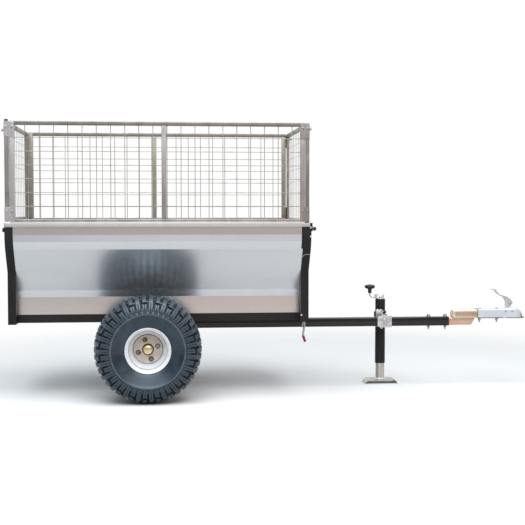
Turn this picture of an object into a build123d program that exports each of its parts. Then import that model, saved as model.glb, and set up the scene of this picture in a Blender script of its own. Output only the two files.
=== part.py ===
from build123d import *
import math
import os

# Tipping utility trailer with a folded tub, mesh cage, single axle, ball coupling and swivel jack.
# Millimetres. Origin on the ground under the middle of the outline, +X forward to the coupling,
# +Y left, +Z up. "left" is +Y and "right" is -Y throughout.

os.makedirs("parts", exist_ok=True)

SIDES = (("left", 1), ("right", -1))  # name, sign of Y

# ---- overall ----
REAR_END_X = -1440.0  # rear face of the gate knobs
NOSE_X = 1440.0  # front of the coupling
GAP = 8.0  # running gap around swinging panels
SHEET = 2.5  # folded sheet

# ---- wheels and axle ----
AXLE_X = -703.0
TYRE_RADIUS = 278.0
AXLE_Z = TYRE_RADIUS
TYRE_WIDTH = 280.0
WHEEL_Y = 425.0  # middle plane of each wheel
RIM_FLANGE_RADIUS = 118.0
RIM_BARREL_RADIUS = 101.0
RIM_HALF_WIDTH = 106.0
RIM_WALL = 4.0
DISC_OFFSET = 27.0  # wheel disc's outer face, outboard of the wheel's middle plane
HUB_PLATE_RADIUS = 75.0
HUB_BARREL_RADIUS = 36.0
SPINDLE_RADIUS = 15.0
SPINDLE_GAP = 0.5
CAP_RADIUS = 24.0
CAP_RECESS_RADIUS = 29.0
AXLE_BEAM = 50.0
AXLE_BEAM_HALF_LENGTH = 262.0

# ---- drawbar ----
BAR = 50.0
BAR_WALL = 3.0
BAR_BOTTOM = 338.0
BAR_TOP = BAR_BOTTOM + BAR
BAR_MID = BAR_BOTTOM + BAR / 2
BAR_REAR_X = -770.0
BAR_FRONT_X = 996.0

# ---- tub ----
TUB_REAR_X = -1427.0
TUB_FRONT_X = 148.0
END_DEPTH = 42.0  # depth along X of each end frame
PANEL_REAR_X = TUB_REAR_X + END_DEPTH
PANEL_FRONT_X = TUB_FRONT_X - END_DEPTH
RAIL_BOTTOM = 398.0
FLOOR_Z = 442.0  # top of the rails, underside of the floor
WALL_Y = 243.0  # lower wall, outer face
RIM_TOP = 928.0
RIM_BOTTOM = 908.0
RIM_Y = 440.0
RAIL_WIDTH = 40.0
RAIL_WALL = 3.0

# ---- tub pivot ----
PIVOT_X = AXLE_X
PIVOT_Z = 368.0
PIVOT_Y = 165.0

# ---- mesh cage ----
CAGE_BOTTOM = RIM_TOP
CAGE_TOP = 1446.0
CAGE_TUBE = 20.0
CAGE_POST = 25.0
CAGE_REAR_X = -1398.0
CAGE_FRONT_X = 113.0
WIRE = 4.0
WIRE_PITCH_X = 72.0
WIRE_PITCH_Z = 70.0
FIRST_WIRE_X = -1321.0
FIRST_WIRE_Z = 1014.0
GATE_AXIS_X = -1413.5
GATE_AXIS_Y = 430.0

# ---- coupling ----
BALL_X = 1391.0
COUPLING_BOTTOM = 381.0
COUPLING_TOP = 433.0
DOME_TOP = 438.0
COUPLING_REAR_X = 1163.0
COUPLING_HALF_WIDTH = 31.0
SOCKET_RADIUS = 25.4
SOCKET_DEPTH = 34.0

# ---- jack ----
JACK_X = 622.0
JACK_Y = 92.0
JACK_TUBE_RADIUS = 28.5
JACK_TUBE_WALL = 3.0
JACK_LEG_RADIUS = 25.0
JACK_TUBE_BOTTOM = 116.0
JACK_TUBE_TOP = 484.0
JACK_LID = 6.0
FOOT_LENGTH = 188.0
FOOT_WIDTH = 96.0
FOOT_TOP = 24.0  # its ends are turned down to the ground


def mirrored(points, sign):
    """Half-section points (Y, Z) on the side that sign gives."""
    return [(sign * y, z) for y, z in points]


def whole(points):
    """Closed section from its right half, given from the bottom up."""
    return [*points, *reversed(mirrored(points, -1))]


# ================= wheels =================
BEAD_GAP = 0.3
BEAD_DEPTH = 16.0
DISC_RIM_U = 82.0  # where the disc's cone meets the barrel
HUB_INNER_U = -60.0
HUB_PLATE = 6.0
CAP_FACE_U = DISC_OFFSET + 28
CAP_TIP_U = DISC_OFFSET + 34
SPINDLE_END_U = DISC_OFFSET + 8
HUB_BORE_END_U = SPINDLE_END_U + 6
# The tyre is faceted: lugs and grooves take turns round it, and its sidewalls are coarser.
LUGS = 46
LUG_ANGLE = math.radians(4.9)
PITCH_ANGLE = 2 * math.pi / LUGS
LUG_EDGE_RADIUS = TYRE_RADIUS / math.cos(LUG_ANGLE / 2)  # so the middle of a lug stands on the ground
BORE_EDGE_RADIUS = (RIM_BARREL_RADIUS + BEAD_GAP) / math.cos(PITCH_ANGLE)
TREAD_EDGE = (TYRE_WIDTH / 2 - 2.5, 197)
LUG_TOP = [TREAD_EDGE, (134, 221.5), (105.5, 260), (60, LUG_EDGE_RADIUS)]  # axial half-width, radius
GROOVE = [TREAD_EDGE, (110, 244.5), (55, 265)]
SIDEWALL = [  # from below the tread, round the bead and up inside
    (134, 168),
    (RIM_HALF_WIDTH - BEAD_GAP, RIM_FLANGE_RADIUS + 4),
    (RIM_HALF_WIDTH - BEAD_GAP, BORE_EDGE_RADIUS),
    (RIM_HALF_WIDTH - BEAD_DEPTH, BORE_EDGE_RADIUS),
    (122, 196),
    (98, 250),
]


def facet(*corners):
    """Flat face through points about the wheel's centre, each (half-width, radius, angle)."""
    places = [(r * math.sin(a), side * (WHEEL_Y + u), -r * math.cos(a)) for u, r, a in corners]
    points = [(AXLE_X + x, y, AXLE_Z + z) for x, y, z in places]
    return Face(Wire.make_polygon(points, close=True))


def band(near, far, start, end):
    """Flat face between two stations of a section, from one angle to another."""
    return facet((*near, start), (*far, start), (*far, end), (*near, end))


for name, side in SIDES:
    across = Plane(origin=(AXLE_X, side * WHEEL_Y, AXLE_Z), x_dir=(0, side, 0), z_dir=(side, 0, 0))
    axle_line = Axis((AXLE_X, 0, AXLE_Z), (0, 1, 0))

    lug_top = LUG_TOP + [(-u, r) for u, r in reversed(LUG_TOP)]
    groove = GROOVE + [(-u, r) for u, r in reversed(GROOVE)]
    faces = []
    for n in range(LUGS):
        start = n * PITCH_ANGLE - LUG_ANGLE / 2
        end = start + LUG_ANGLE
        following = start + PITCH_ANGLE
        faces += [band(p, q, start, end) for p, q in zip(lug_top, lug_top[1:])]
        faces += [band(p, q, end, following) for p, q in zip(groove, groove[1:])]
        for angle in (start, end):
            flank = lug_top + groove[-2:0:-1]
            faces.append(facet(*[(u, r, angle) for u, r in flank]))
    for n in range(0, LUGS, 2):  # two lugs to a sidewall facet
        first = n * PITCH_ANGLE - LUG_ANGLE / 2
        edges = [first, first + LUG_ANGLE, first + PITCH_ANGLE, first + PITCH_ANGLE + LUG_ANGLE]
        here = (n + 0.5) * PITCH_ANGLE
        there = here + 2 * PITCH_ANGLE
        faces += [band(p, q, here, there) for p, q in zip(SIDEWALL, SIDEWALL[1:])]
        faces += [band((-p[0], p[1]), (-q[0], q[1]), here, there) for p, q in zip(SIDEWALL, SIDEWALL[1:])]
        faces.append(band(SIDEWALL[-1], (-SIDEWALL[-1][0], SIDEWALL[-1][1]), here, there))
        for sign in (1, -1):
            wide, rim_edge = (sign * SIDEWALL[0][0], SIDEWALL[0][1]), (sign * TREAD_EDGE[0], TREAD_EDGE[1])
            beyond = first + 2 * PITCH_ANGLE
            for a, b in zip(edges, edges[1:]):
                faces.append(facet((*wide, here), (*rim_edge, a), (*rim_edge, b)))
            faces.append(facet((*wide, here), (*rim_edge, edges[-1]), (*rim_edge, beyond)))
            faces.append(facet((*wide, here), (*rim_edge, beyond), (*wide, there)))
    with BuildPart() as tyre:
        add(Solid(Shell(faces)))
    tyre.part.label = f"tyre_{name}"
    export_step(tyre.part, f"parts/tyre_{name}.step")

    with BuildPart() as rim:
        with BuildSketch(across):
            with BuildLine():
                Polyline(
                    (-RIM_HALF_WIDTH, RIM_BARREL_RADIUS),
                    (-RIM_HALF_WIDTH, RIM_FLANGE_RADIUS),
                    (-RIM_HALF_WIDTH - RIM_WALL, RIM_FLANGE_RADIUS),
                    (-RIM_HALF_WIDTH - RIM_WALL, RIM_BARREL_RADIUS - RIM_WALL),
                    (DISC_RIM_U - 2 * RIM_WALL, RIM_BARREL_RADIUS - RIM_WALL),
                    (DISC_OFFSET - RIM_WALL, HUB_PLATE_RADIUS + RIM_WALL),
                    (DISC_OFFSET - RIM_WALL, HUB_BARREL_RADIUS),
                    (DISC_OFFSET, HUB_BARREL_RADIUS),
                    (DISC_OFFSET, HUB_PLATE_RADIUS + RIM_WALL),
                    (DISC_RIM_U, RIM_BARREL_RADIUS - RIM_WALL),
                    (RIM_HALF_WIDTH - RIM_WALL, RIM_BARREL_RADIUS - RIM_WALL),
                    (RIM_HALF_WIDTH + RIM_WALL, RIM_BARREL_RADIUS),
                    (RIM_HALF_WIDTH + RIM_WALL, RIM_FLANGE_RADIUS),
                    (RIM_HALF_WIDTH, RIM_FLANGE_RADIUS),
                    (RIM_HALF_WIDTH, RIM_BARREL_RADIUS),
                    close=True,
                )
            make_face()
        revolve(axis=axle_line)
    rim.part.label = f"rim_{name}"
    export_step(rim.part, f"parts/rim_{name}.step")

    with BuildPart() as hub:
        with BuildSketch(across):
            with BuildLine():
                Polyline(
                    (HUB_INNER_U, SPINDLE_RADIUS + SPINDLE_GAP),
                    (HUB_INNER_U, HUB_BARREL_RADIUS),
                    (DISC_OFFSET, HUB_BARREL_RADIUS),
                    (DISC_OFFSET, HUB_PLATE_RADIUS),
                    (DISC_OFFSET + HUB_PLATE, HUB_PLATE_RADIUS),
                    (DISC_OFFSET + HUB_PLATE, CAP_RECESS_RADIUS),
                    (DISC_OFFSET + 1, CAP_RECESS_RADIUS),
                    (DISC_OFFSET + 1, CAP_RADIUS),
                    (CAP_FACE_U, CAP_RADIUS),
                    (CAP_TIP_U, CAP_RADIUS / 2),
                    (CAP_TIP_U, 0),
                    (HUB_BORE_END_U, 0),
                    (HUB_BORE_END_U, SPINDLE_RADIUS + SPINDLE_GAP),
                    close=True,
                )
            make_face()
        revolve(axis=axle_line)
    hub.part.label = f"hub_{name}"
    export_step(hub.part, f"parts/hub_{name}.step")

# ================= chassis =================
with BuildPart() as drawbar:
    with BuildSketch(Plane.YZ.offset(BAR_REAR_X)):
        with Locations((0, BAR_MID)):
            Rectangle(BAR, BAR)
            Rectangle(BAR - 2 * BAR_WALL, BAR - 2 * BAR_WALL, mode=Mode.SUBTRACT)
    extrude(amount=BAR_FRONT_X - BAR_REAR_X)
drawbar.part.label = "drawbar"
export_step(drawbar.part, "parts/drawbar.step")

with BuildPart() as axle_beam:
    with BuildSketch(Plane.XZ.offset(-AXLE_BEAM_HALF_LENGTH)):
        with Locations((AXLE_X, AXLE_Z)):
            Rectangle(AXLE_BEAM, AXLE_BEAM)
    extrude(amount=2 * AXLE_BEAM_HALF_LENGTH)
    with BuildSketch(Plane.XZ.offset(-WHEEL_Y - SPINDLE_END_U)):
        with Locations((AXLE_X, AXLE_Z)):
            Circle(SPINDLE_RADIUS)
    extrude(amount=2 * (WHEEL_Y + SPINDLE_END_U))
axle_beam.part.label = "axle_beam"
export_step(axle_beam.part, "parts/axle_beam.step")

SADDLE_BOTTOM = AXLE_Z + AXLE_BEAM / 2
SADDLE_SIDE = 90.0
with BuildPart() as axle_saddle:
    with BuildSketch(Plane.XY.offset(SADDLE_BOTTOM)):
        with Locations((AXLE_X, 0)):
            Rectangle(SADDLE_SIDE, SADDLE_SIDE)
    extrude(amount=BAR_BOTTOM - SADDLE_BOTTOM)
axle_saddle.part.label = "axle_saddle"
export_step(axle_saddle.part, "parts/axle_saddle.step")

BRACKET_THICKNESS = 8.0
BRACKET_HALF_FOOT = 32.0
BRACKET_HALF_HEAD = 18.0
LUG_GAP = 1.0
PIVOT_PIN_RADIUS = 8.0
PIVOT_PIN_LENGTH = BRACKET_THICKNESS + 30
for name, side in SIDES:
    with BuildPart() as pivot_bracket:
        with BuildSketch(Plane.XZ.offset(-side * PIVOT_Y)):
            with BuildLine():
                Polyline(
                    (PIVOT_X - BRACKET_HALF_FOOT, SADDLE_BOTTOM),
                    (PIVOT_X + BRACKET_HALF_FOOT, SADDLE_BOTTOM),
                    (PIVOT_X + BRACKET_HALF_HEAD, PIVOT_Z + BRACKET_HALF_HEAD),
                    (PIVOT_X - BRACKET_HALF_HEAD, PIVOT_Z + BRACKET_HALF_HEAD),
                    close=True,
                )
            make_face()
        extrude(amount=-side * BRACKET_THICKNESS)
        with BuildSketch(Plane.XZ.offset(-side * (PIVOT_Y + BRACKET_THICKNESS + 6 - PIVOT_PIN_LENGTH))):
            with Locations((PIVOT_X, PIVOT_Z)):
                Circle(PIVOT_PIN_RADIUS)
        extrude(amount=-side * PIVOT_PIN_LENGTH)
    pivot_bracket.part.label = f"pivot_bracket_{name}"
    export_step(pivot_bracket.part, f"parts/pivot_bracket_{name}.step")

REST_PAD_X = 60.0
REST_PAD = (60.0, 44.0)
REST_GAP = 0.4
with BuildPart() as rest_pad:
    with BuildSketch(Plane.XY.offset(BAR_TOP)):
        with Locations((REST_PAD_X, 0)):
            Rectangle(*REST_PAD)
    extrude(amount=RAIL_BOTTOM - BAR_TOP - REST_GAP)
rest_pad.part.label = "rest_pad"
export_step(rest_pad.part, "parts/rest_pad.step")

LATCH_Y = -35.0
LATCH_THICKNESS = 8.0
LATCH_PLATE = [(150, 345), (166, 345), (172, 372), (166, 398), (156, 398), (158, 372)]  # X, Z
LATCH_ROD_RADIUS = 6.0
LATCH_ROD_TOP = (167.0, LATCH_Y, 362.0)
GRIP_TOP = (158.0, LATCH_Y, 292.0)
GRIP_TIP = (170.0, LATCH_Y, 257.0)
GRIP_RADIUS = 7.0
with BuildPart() as tilt_latch:
    with BuildSketch(Plane.XZ.offset(BAR / 2)):
        with BuildLine():
            Polyline(*LATCH_PLATE, close=True)
        make_face()
    extrude(amount=LATCH_THICKNESS)
    with BuildSketch(Plane(origin=LATCH_ROD_TOP, z_dir=Vector(*GRIP_TOP) - Vector(*LATCH_ROD_TOP))):
        Circle(LATCH_ROD_RADIUS)
    extrude(amount=(Vector(*GRIP_TOP) - Vector(*LATCH_ROD_TOP)).length)
tilt_latch.part.label = "tilt_latch"
export_step(tilt_latch.part, "parts/tilt_latch.step")

with BuildPart() as latch_grip:
    with BuildSketch(Plane(origin=GRIP_TOP, z_dir=Vector(*GRIP_TIP) - Vector(*GRIP_TOP))):
        Circle(GRIP_RADIUS)
    extrude(amount=(Vector(*GRIP_TIP) - Vector(*GRIP_TOP)).length)
    add(tilt_latch.part, mode=Mode.SUBTRACT)
latch_grip.part.label = "latch_grip"
export_step(latch_grip.part, "parts/latch_grip.step")

# ---- coupling and its adaptor ----
ADAPTOR = 38.0
ADAPTOR_OVERLAP = 90.0  # length inside the drawbar
ADAPTOR_FRONT_X = (1126.0, 1149.0)  # at its bottom and its top
ADAPTOR_BOTTOM = BAR_BOTTOM + BAR_WALL
ADAPTOR_TOP = ADAPTOR_BOTTOM + ADAPTOR
with BuildPart() as adaptor_tube:
    with BuildSketch(Plane.XZ.offset(-ADAPTOR / 2)):
        with BuildLine():
            Polyline(
                (BAR_FRONT_X - ADAPTOR_OVERLAP, ADAPTOR_BOTTOM),
                (ADAPTOR_FRONT_X[0], ADAPTOR_BOTTOM),
                (ADAPTOR_FRONT_X[1], ADAPTOR_TOP),
                (BAR_FRONT_X - ADAPTOR_OVERLAP, ADAPTOR_TOP),
                close=True,
            )
        make_face()
    extrude(amount=ADAPTOR)
adaptor_tube.part.label = "adaptor_tube"
export_step(adaptor_tube.part, "parts/adaptor_tube.step")

SLEEVE_WALL = 4.0
SLEEVE_REAR_X = 1010.0
SLEEVE_FRONT_X = 1290.0
SLEEVE_TOP = COUPLING_TOP - SLEEVE_WALL
SLEEVE_HALF_WIDTH = COUPLING_HALF_WIDTH - SLEEVE_WALL
with BuildPart() as adaptor_sleeve:
    with BuildSketch(Plane.YZ.offset(SLEEVE_REAR_X)):
        with Locations((0, (SLEEVE_TOP + ADAPTOR_TOP) / 2)):
            Rectangle(2 * SLEEVE_HALF_WIDTH, SLEEVE_TOP - ADAPTOR_TOP)
            Rectangle(
                2 * (SLEEVE_HALF_WIDTH - SLEEVE_WALL),
                SLEEVE_TOP - ADAPTOR_TOP - 2 * SLEEVE_WALL,
                mode=Mode.SUBTRACT,
            )
    extrude(amount=SLEEVE_FRONT_X - SLEEVE_REAR_X)
adaptor_sleeve.part.label = "adaptor_sleeve"
export_step(adaptor_sleeve.part, "parts/adaptor_sleeve.step")

NOSE_HALF_WIDTH = 46.0
SHOULDER_X = 1330.0
SLEEVE_POCKET_X = SLEEVE_FRONT_X + 10
DOME_X = 1353.0
DOME = (94.0, 44.0, 18.0)  # length, width, corner radius
with BuildPart() as coupling_body:
    with BuildSketch(Plane.XY.offset(COUPLING_BOTTOM)):
        with BuildLine():
            Polyline(
                (BALL_X, NOSE_HALF_WIDTH),
                (SHOULDER_X, COUPLING_HALF_WIDTH),
                (COUPLING_REAR_X, COUPLING_HALF_WIDTH),
                (COUPLING_REAR_X, -COUPLING_HALF_WIDTH),
                (SHOULDER_X, -COUPLING_HALF_WIDTH),
                (BALL_X, -NOSE_HALF_WIDTH),
            )
            ThreePointArc((BALL_X, -NOSE_HALF_WIDTH), (NOSE_X, 0), (BALL_X, NOSE_HALF_WIDTH))
        make_face()
    extrude(amount=COUPLING_TOP - COUPLING_BOTTOM)
    with BuildSketch(Plane.XY.offset(COUPLING_TOP)):
        with Locations((DOME_X, 0)):
            RectangleRounded(*DOME)
    extrude(amount=DOME_TOP - COUPLING_TOP)
    with BuildSketch(Plane.XY.offset(COUPLING_BOTTOM)):
        with Locations(((COUPLING_REAR_X + SLEEVE_POCKET_X) / 2, 0)):
            Rectangle(SLEEVE_POCKET_X - COUPLING_REAR_X, 2 * SLEEVE_HALF_WIDTH)
    extrude(amount=SLEEVE_TOP - COUPLING_BOTTOM, mode=Mode.SUBTRACT)
    with BuildSketch(Plane.XY.offset(COUPLING_BOTTOM)):
        with Locations((BALL_X, 0)):
            Circle(SOCKET_RADIUS)
    extrude(amount=SOCKET_DEPTH, mode=Mode.SUBTRACT)
coupling_body.part.label = "coupling_body"
export_step(coupling_body.part, "parts/coupling_body.step")

LEVER_WIDTH = 22.0
LEVER_OUTLINE = [  # X, Z: up the front, along the top to the tip, back underneath
    (1331, DOME_TOP),
    (1354, DOME_TOP),
    (1372, 467),
    (1356, 487),
    (1338, 499),
    (1299, 510),
    (1282, 524),
    (1271, 542),
    (1243, 545),
    (1243, 541),
    (1263, 536),
    (1280, 516),
    (1317, 495),
    (1331, 474),
]
with BuildPart() as coupling_lever:
    with BuildSketch(Plane.XZ.offset(-LEVER_WIDTH / 2)):
        with BuildLine():
            Polyline(*LEVER_OUTLINE, close=True)
        make_face()
    extrude(amount=LEVER_WIDTH)
coupling_lever.part.label = "coupling_lever"
export_step(coupling_lever.part, "parts/coupling_lever.step")

# ---- jack mounting ----
PLATE_THICKNESS = 6.0
PLATE_REAR_X = 584.0
PLATE_FRONT_X = 664.0
PLATE_BOTTOM = 331.0
PLATE_TOP = 406.0
with BuildPart() as jack_plate_near:
    with BuildSketch(Plane.XZ.offset(BAR / 2)):
        with Locations(((PLATE_REAR_X + PLATE_FRONT_X) / 2, (PLATE_BOTTOM + PLATE_TOP) / 2)):
            Rectangle(PLATE_FRONT_X - PLATE_REAR_X, PLATE_TOP - PLATE_BOTTOM)
    extrude(amount=PLATE_THICKNESS)
jack_plate_near.part.label = "jack_plate_near"
export_step(jack_plate_near.part, "parts/jack_plate_near.step")

STUB_RADIUS = 24.0
STUB_END_Y = JACK_Y - JACK_TUBE_RADIUS - 8
MOUNT_OUTLINE = [  # X, Z
    (PLATE_REAR_X, PLATE_BOTTOM),
    (PLATE_FRONT_X, PLATE_BOTTOM),
    (PLATE_FRONT_X, BAR_TOP),
    (628, BAR_TOP + 12),
    (628, 431),
    (PLATE_REAR_X, 431),
]
with BuildPart() as jack_mount:
    with BuildSketch(Plane.XZ.offset(-BAR / 2 - PLATE_THICKNESS)):
        with BuildLine():
            Polyline(*MOUNT_OUTLINE, close=True)
        make_face()
    extrude(amount=PLATE_THICKNESS)
    with BuildSketch(Plane.XZ.offset(-STUB_END_Y)):
        with Locations((JACK_X, BAR_MID)):
            Circle(STUB_RADIUS)
    extrude(amount=STUB_END_Y - BAR / 2 - PLATE_THICKNESS)
jack_mount.part.label = "jack_mount"
export_step(jack_mount.part, "parts/jack_mount.step")

# ================= jack =================
with BuildPart() as jack_tube:
    with BuildSketch(Plane.XY.offset(JACK_TUBE_BOTTOM)):
        with Locations((JACK_X, JACK_Y)):
            Circle(JACK_TUBE_RADIUS)
    extrude(amount=JACK_TUBE_TOP - JACK_TUBE_BOTTOM)
    with BuildSketch(Plane.XY.offset(JACK_TUBE_BOTTOM)):
        with Locations((JACK_X, JACK_Y)):
            Circle(JACK_TUBE_RADIUS - JACK_TUBE_WALL)
    extrude(amount=JACK_TUBE_TOP - JACK_TUBE_BOTTOM - JACK_LID, mode=Mode.SUBTRACT)
jack_tube.part.label = "jack_tube"
export_step(jack_tube.part, "parts/jack_tube.step")

COLLAR_WALL = 4.5
COLLAR_RADIUS = JACK_TUBE_RADIUS + COLLAR_WALL
COLLAR_HEIGHT = 68.0
COLLAR_FACE_Y = STUB_END_Y + 1
with BuildPart() as jack_collar:
    with BuildSketch(Plane.XY.offset(BAR_MID - COLLAR_HEIGHT / 2)):
        with Locations((JACK_X, JACK_Y)):
            Circle(COLLAR_RADIUS)
        with Locations((JACK_X, (JACK_Y + COLLAR_FACE_Y) / 2)):
            Rectangle(2 * COLLAR_RADIUS, JACK_Y - COLLAR_FACE_Y)
        with Locations((JACK_X, JACK_Y)):
            Circle(JACK_TUBE_RADIUS, mode=Mode.SUBTRACT)
    extrude(amount=COLLAR_HEIGHT)
jack_collar.part.label = "jack_collar"
export_step(jack_collar.part, "parts/jack_collar.step")

CRANK_Z = 503.0
CRANK_ARM = 61.0
CRANK_THICKNESS = 8.0
CRANK_WIDTH = 18.0
CLEVIS_RADIUS = 17.0
CLEVIS_HEIGHT = 30.0
KNOB_X = JACK_X - CRANK_ARM
with BuildPart() as jack_crank:
    with BuildSketch(Plane.XY.offset(JACK_TUBE_TOP)):
        with Locations((JACK_X, JACK_Y)):
            Circle(CLEVIS_RADIUS)
    extrude(amount=CLEVIS_HEIGHT)
    with BuildSketch(Plane.XY.offset(CRANK_Z)):
        with Locations((JACK_X - CRANK_ARM / 2, JACK_Y)):
            Rectangle(CRANK_ARM + CRANK_WIDTH, CRANK_WIDTH)
    extrude(amount=CRANK_THICKNESS)
jack_crank.part.label = "jack_crank"
export_step(jack_crank.part, "parts/jack_crank.step")

KNOB_SECTION = [(0, 0), (11, 0), (11, 28), (28, 36), (30, 48), (20, 55), (0, 56)]  # radius, height
with BuildPart() as crank_knob:
    with BuildSketch(Plane.XZ.offset(-JACK_Y)):
        with BuildLine():
            Polyline(*[(KNOB_X + r, CRANK_Z + CRANK_THICKNESS + h) for r, h in KNOB_SECTION], close=True)
        make_face()
    revolve(axis=Axis((KNOB_X, JACK_Y, 0), (0, 0, 1)))
crank_knob.part.label = "crank_knob"
export_step(crank_knob.part, "parts/crank_knob.step")

LEG_TOP = 330.0
LEG_WALL = 3.0
with BuildPart() as jack_leg:
    with BuildSketch(Plane.XY.offset(FOOT_TOP)):
        with Locations((JACK_X, JACK_Y)):
            Circle(JACK_LEG_RADIUS)
            Circle(JACK_LEG_RADIUS - LEG_WALL, mode=Mode.SUBTRACT)
    extrude(amount=LEG_TOP - FOOT_TOP)
jack_leg.part.label = "jack_leg"
export_step(jack_leg.part, "parts/jack_leg.step")

FOOT_HALF = FOOT_LENGTH / 2
FOOT_SECTION = [  # from the middle of the foot, height: over the turned-down end and back under it
    (FOOT_HALF - 20, FOOT_TOP),
    (FOOT_HALF - 6, FOOT_TOP - 10),
    (FOOT_HALF, 0),
    (FOOT_HALF - 6, 0),
    (FOOT_HALF - 11, FOOT_TOP - 14),
    (FOOT_HALF - 22, FOOT_TOP - 5),
]
with BuildPart() as jack_foot:
    with BuildSketch(Plane.XZ.offset(-JACK_Y - FOOT_WIDTH / 2)):
        with BuildLine():
            front_half = [(JACK_X + d, z) for d, z in FOOT_SECTION]
            rear_half = [(JACK_X - d, z) for d, z in reversed(FOOT_SECTION)]
            Polyline(*front_half, *rear_half, close=True)
        make_face()
    extrude(amount=FOOT_WIDTH)
jack_foot.part.label = "jack_foot"
export_step(jack_foot.part, "parts/jack_foot.step")

# ================= tub =================
with BuildPart() as tub_floor:
    with BuildSketch(Plane.XY.offset(FLOOR_Z)):
        with Locations(((PANEL_REAR_X + PANEL_FRONT_X) / 2, 0)):
            Rectangle(PANEL_FRONT_X - PANEL_REAR_X, 2 * (WALL_Y - SHEET))
    extrude(amount=SHEET)
tub_floor.part.label = "tub_floor"
export_step(tub_floor.part, "parts/tub_floor.step")

PANEL_LINE = [  # outer face of a side panel: Y, Z
    (WALL_Y, FLOOR_Z),
    (WALL_Y, 535),
    (257, 571),
    (414, 792),
    (432, 831),
    (438, 867),
    (438, RIM_TOP),
    (426, RIM_TOP),
]
FOLD_RADIUS = 6.0
HEM_RADIUS = 3.0
PANEL_LENGTH = PANEL_FRONT_X - PANEL_REAR_X
for name, side in SIDES:
    with BuildPart() as side_panel:
        with BuildSketch(Plane.YZ.offset(PANEL_REAR_X)):
            with BuildLine():
                FilletPolyline(
                    *mirrored(PANEL_LINE, side), radius=[FOLD_RADIUS] * (len(PANEL_LINE) - 3) + [HEM_RADIUS]
                )
                offset(amount=SHEET, side=Side.LEFT if side > 0 else Side.RIGHT)
            make_face()
        extrude(amount=PANEL_LENGTH)
    side_panel.part.label = f"side_panel_{name}"
    export_step(side_panel.part, f"parts/side_panel_{name}.step")

    with BuildPart() as bottom_rail:
        with BuildSketch(Plane.YZ.offset(PANEL_REAR_X)):
            with Locations((side * (WALL_Y - RAIL_WIDTH / 2), (RAIL_BOTTOM + FLOOR_Z) / 2)):
                Rectangle(RAIL_WIDTH, FLOOR_Z - RAIL_BOTTOM)
                Rectangle(
                    RAIL_WIDTH - 2 * RAIL_WALL, FLOOR_Z - RAIL_BOTTOM - 2 * RAIL_WALL, mode=Mode.SUBTRACT
                )
        extrude(amount=PANEL_LENGTH)
    bottom_rail.part.label = f"bottom_rail_{name}"
    export_step(bottom_rail.part, f"parts/bottom_rail_{name}.step")

END_OUTLINE = [  # outer edge of an end frame: Y, Z
    (335, RAIL_BOTTOM),
    (335, 673),
    (419, 792),
    (434, 831),
    (RIM_Y, 867),
    (RIM_Y, RIM_TOP),
]
END_OPENING = [  # inner edge of an end frame: Y, Z
    (235, FLOOR_Z),
    (235, 537),
    (249, 573),
    (406, 794),
    (423, 833),
    (429, 869),
    (429, RIM_TOP),
]
END_PLATE = 3.0
FRONT_RIB_YS = (-190.0, 0.0, 190.0)
FRONT_RIB = (60.0, 20.0)  # width, depth

with BuildPart() as front_board:
    with BuildSketch(Plane.YZ.offset(PANEL_FRONT_X)):
        with BuildLine():
            Polyline(*whole(END_OUTLINE), close=True)
        make_face()
    extrude(amount=END_DEPTH)
    with BuildSketch(Plane.YZ.offset(PANEL_FRONT_X + END_PLATE)):
        with BuildLine():
            Polyline(*whole(END_OUTLINE), close=True)
        make_face()
        offset(amount=-END_PLATE, kind=Kind.INTERSECTION, mode=Mode.REPLACE)
    extrude(amount=END_DEPTH, mode=Mode.SUBTRACT)
    with BuildSketch(Plane.YZ.offset(PANEL_FRONT_X)):
        with Locations(*[(y, (RAIL_BOTTOM + RIM_TOP) / 2) for y in FRONT_RIB_YS]):
            Rectangle(FRONT_RIB[0], RIM_TOP - RAIL_BOTTOM)
    extrude(amount=END_PLATE + FRONT_RIB[1])
front_board.part.label = "front_board"
export_step(front_board.part, "parts/front_board.step")

TAILGATE_AXIS_X = TUB_REAR_X + 6
TAILGATE_AXIS_Z = FLOOR_Z + GAP + 3
TAILGATE_PIN_RADIUS = 5.0
TAILGATE_PIN_END_Y = 205.0
OPENING_LOW_Y = END_OPENING[0][0]
with BuildPart() as rear_frame:
    with BuildSketch(Plane.YZ.offset(TUB_REAR_X)):
        with BuildLine():
            Polyline(*whole(END_OUTLINE), close=True)
        make_face()
        with BuildLine():
            Polyline(*whole(END_OPENING), close=True)
        make_face(mode=Mode.SUBTRACT)
    extrude(amount=END_DEPTH)
    with BuildSketch(Plane.YZ.offset(TUB_REAR_X)):
        with BuildLine():
            Polyline(*whole(END_OUTLINE), close=True)
        make_face()
        with BuildLine():
            Polyline(*whole(END_OPENING), close=True)
        make_face(mode=Mode.SUBTRACT)
        offset(amount=-END_PLATE, kind=Kind.INTERSECTION, mode=Mode.REPLACE)
    extrude(amount=END_DEPTH - END_PLATE, mode=Mode.SUBTRACT)
    for _, side in SIDES:
        with BuildSketch(Plane.XZ.offset(-side * OPENING_LOW_Y)):
            with Locations((TAILGATE_AXIS_X, TAILGATE_AXIS_Z)):
                Circle(TAILGATE_PIN_RADIUS)
        extrude(amount=side * (OPENING_LOW_Y - TAILGATE_PIN_END_Y))
rear_frame.part.label = "rear_frame"
export_step(rear_frame.part, "parts/rear_frame.step")

CROSS_X = (-1300.0, -1000.0, -400.0, REST_PAD_X)
CROSS_WIDTH = 40.0
CROSS_HALF_LENGTH = WALL_Y - RAIL_WIDTH
with BuildPart() as cross_members:
    with BuildSketch(Plane.XY.offset(RAIL_BOTTOM)):
        with Locations(*[(x, 0) for x in CROSS_X]):
            Rectangle(CROSS_WIDTH, 2 * CROSS_HALF_LENGTH)
    extrude(amount=FLOOR_Z - RAIL_BOTTOM)
cross_members.part.label = "cross_members"
export_step(cross_members.part, "parts/cross_members.step")

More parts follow.
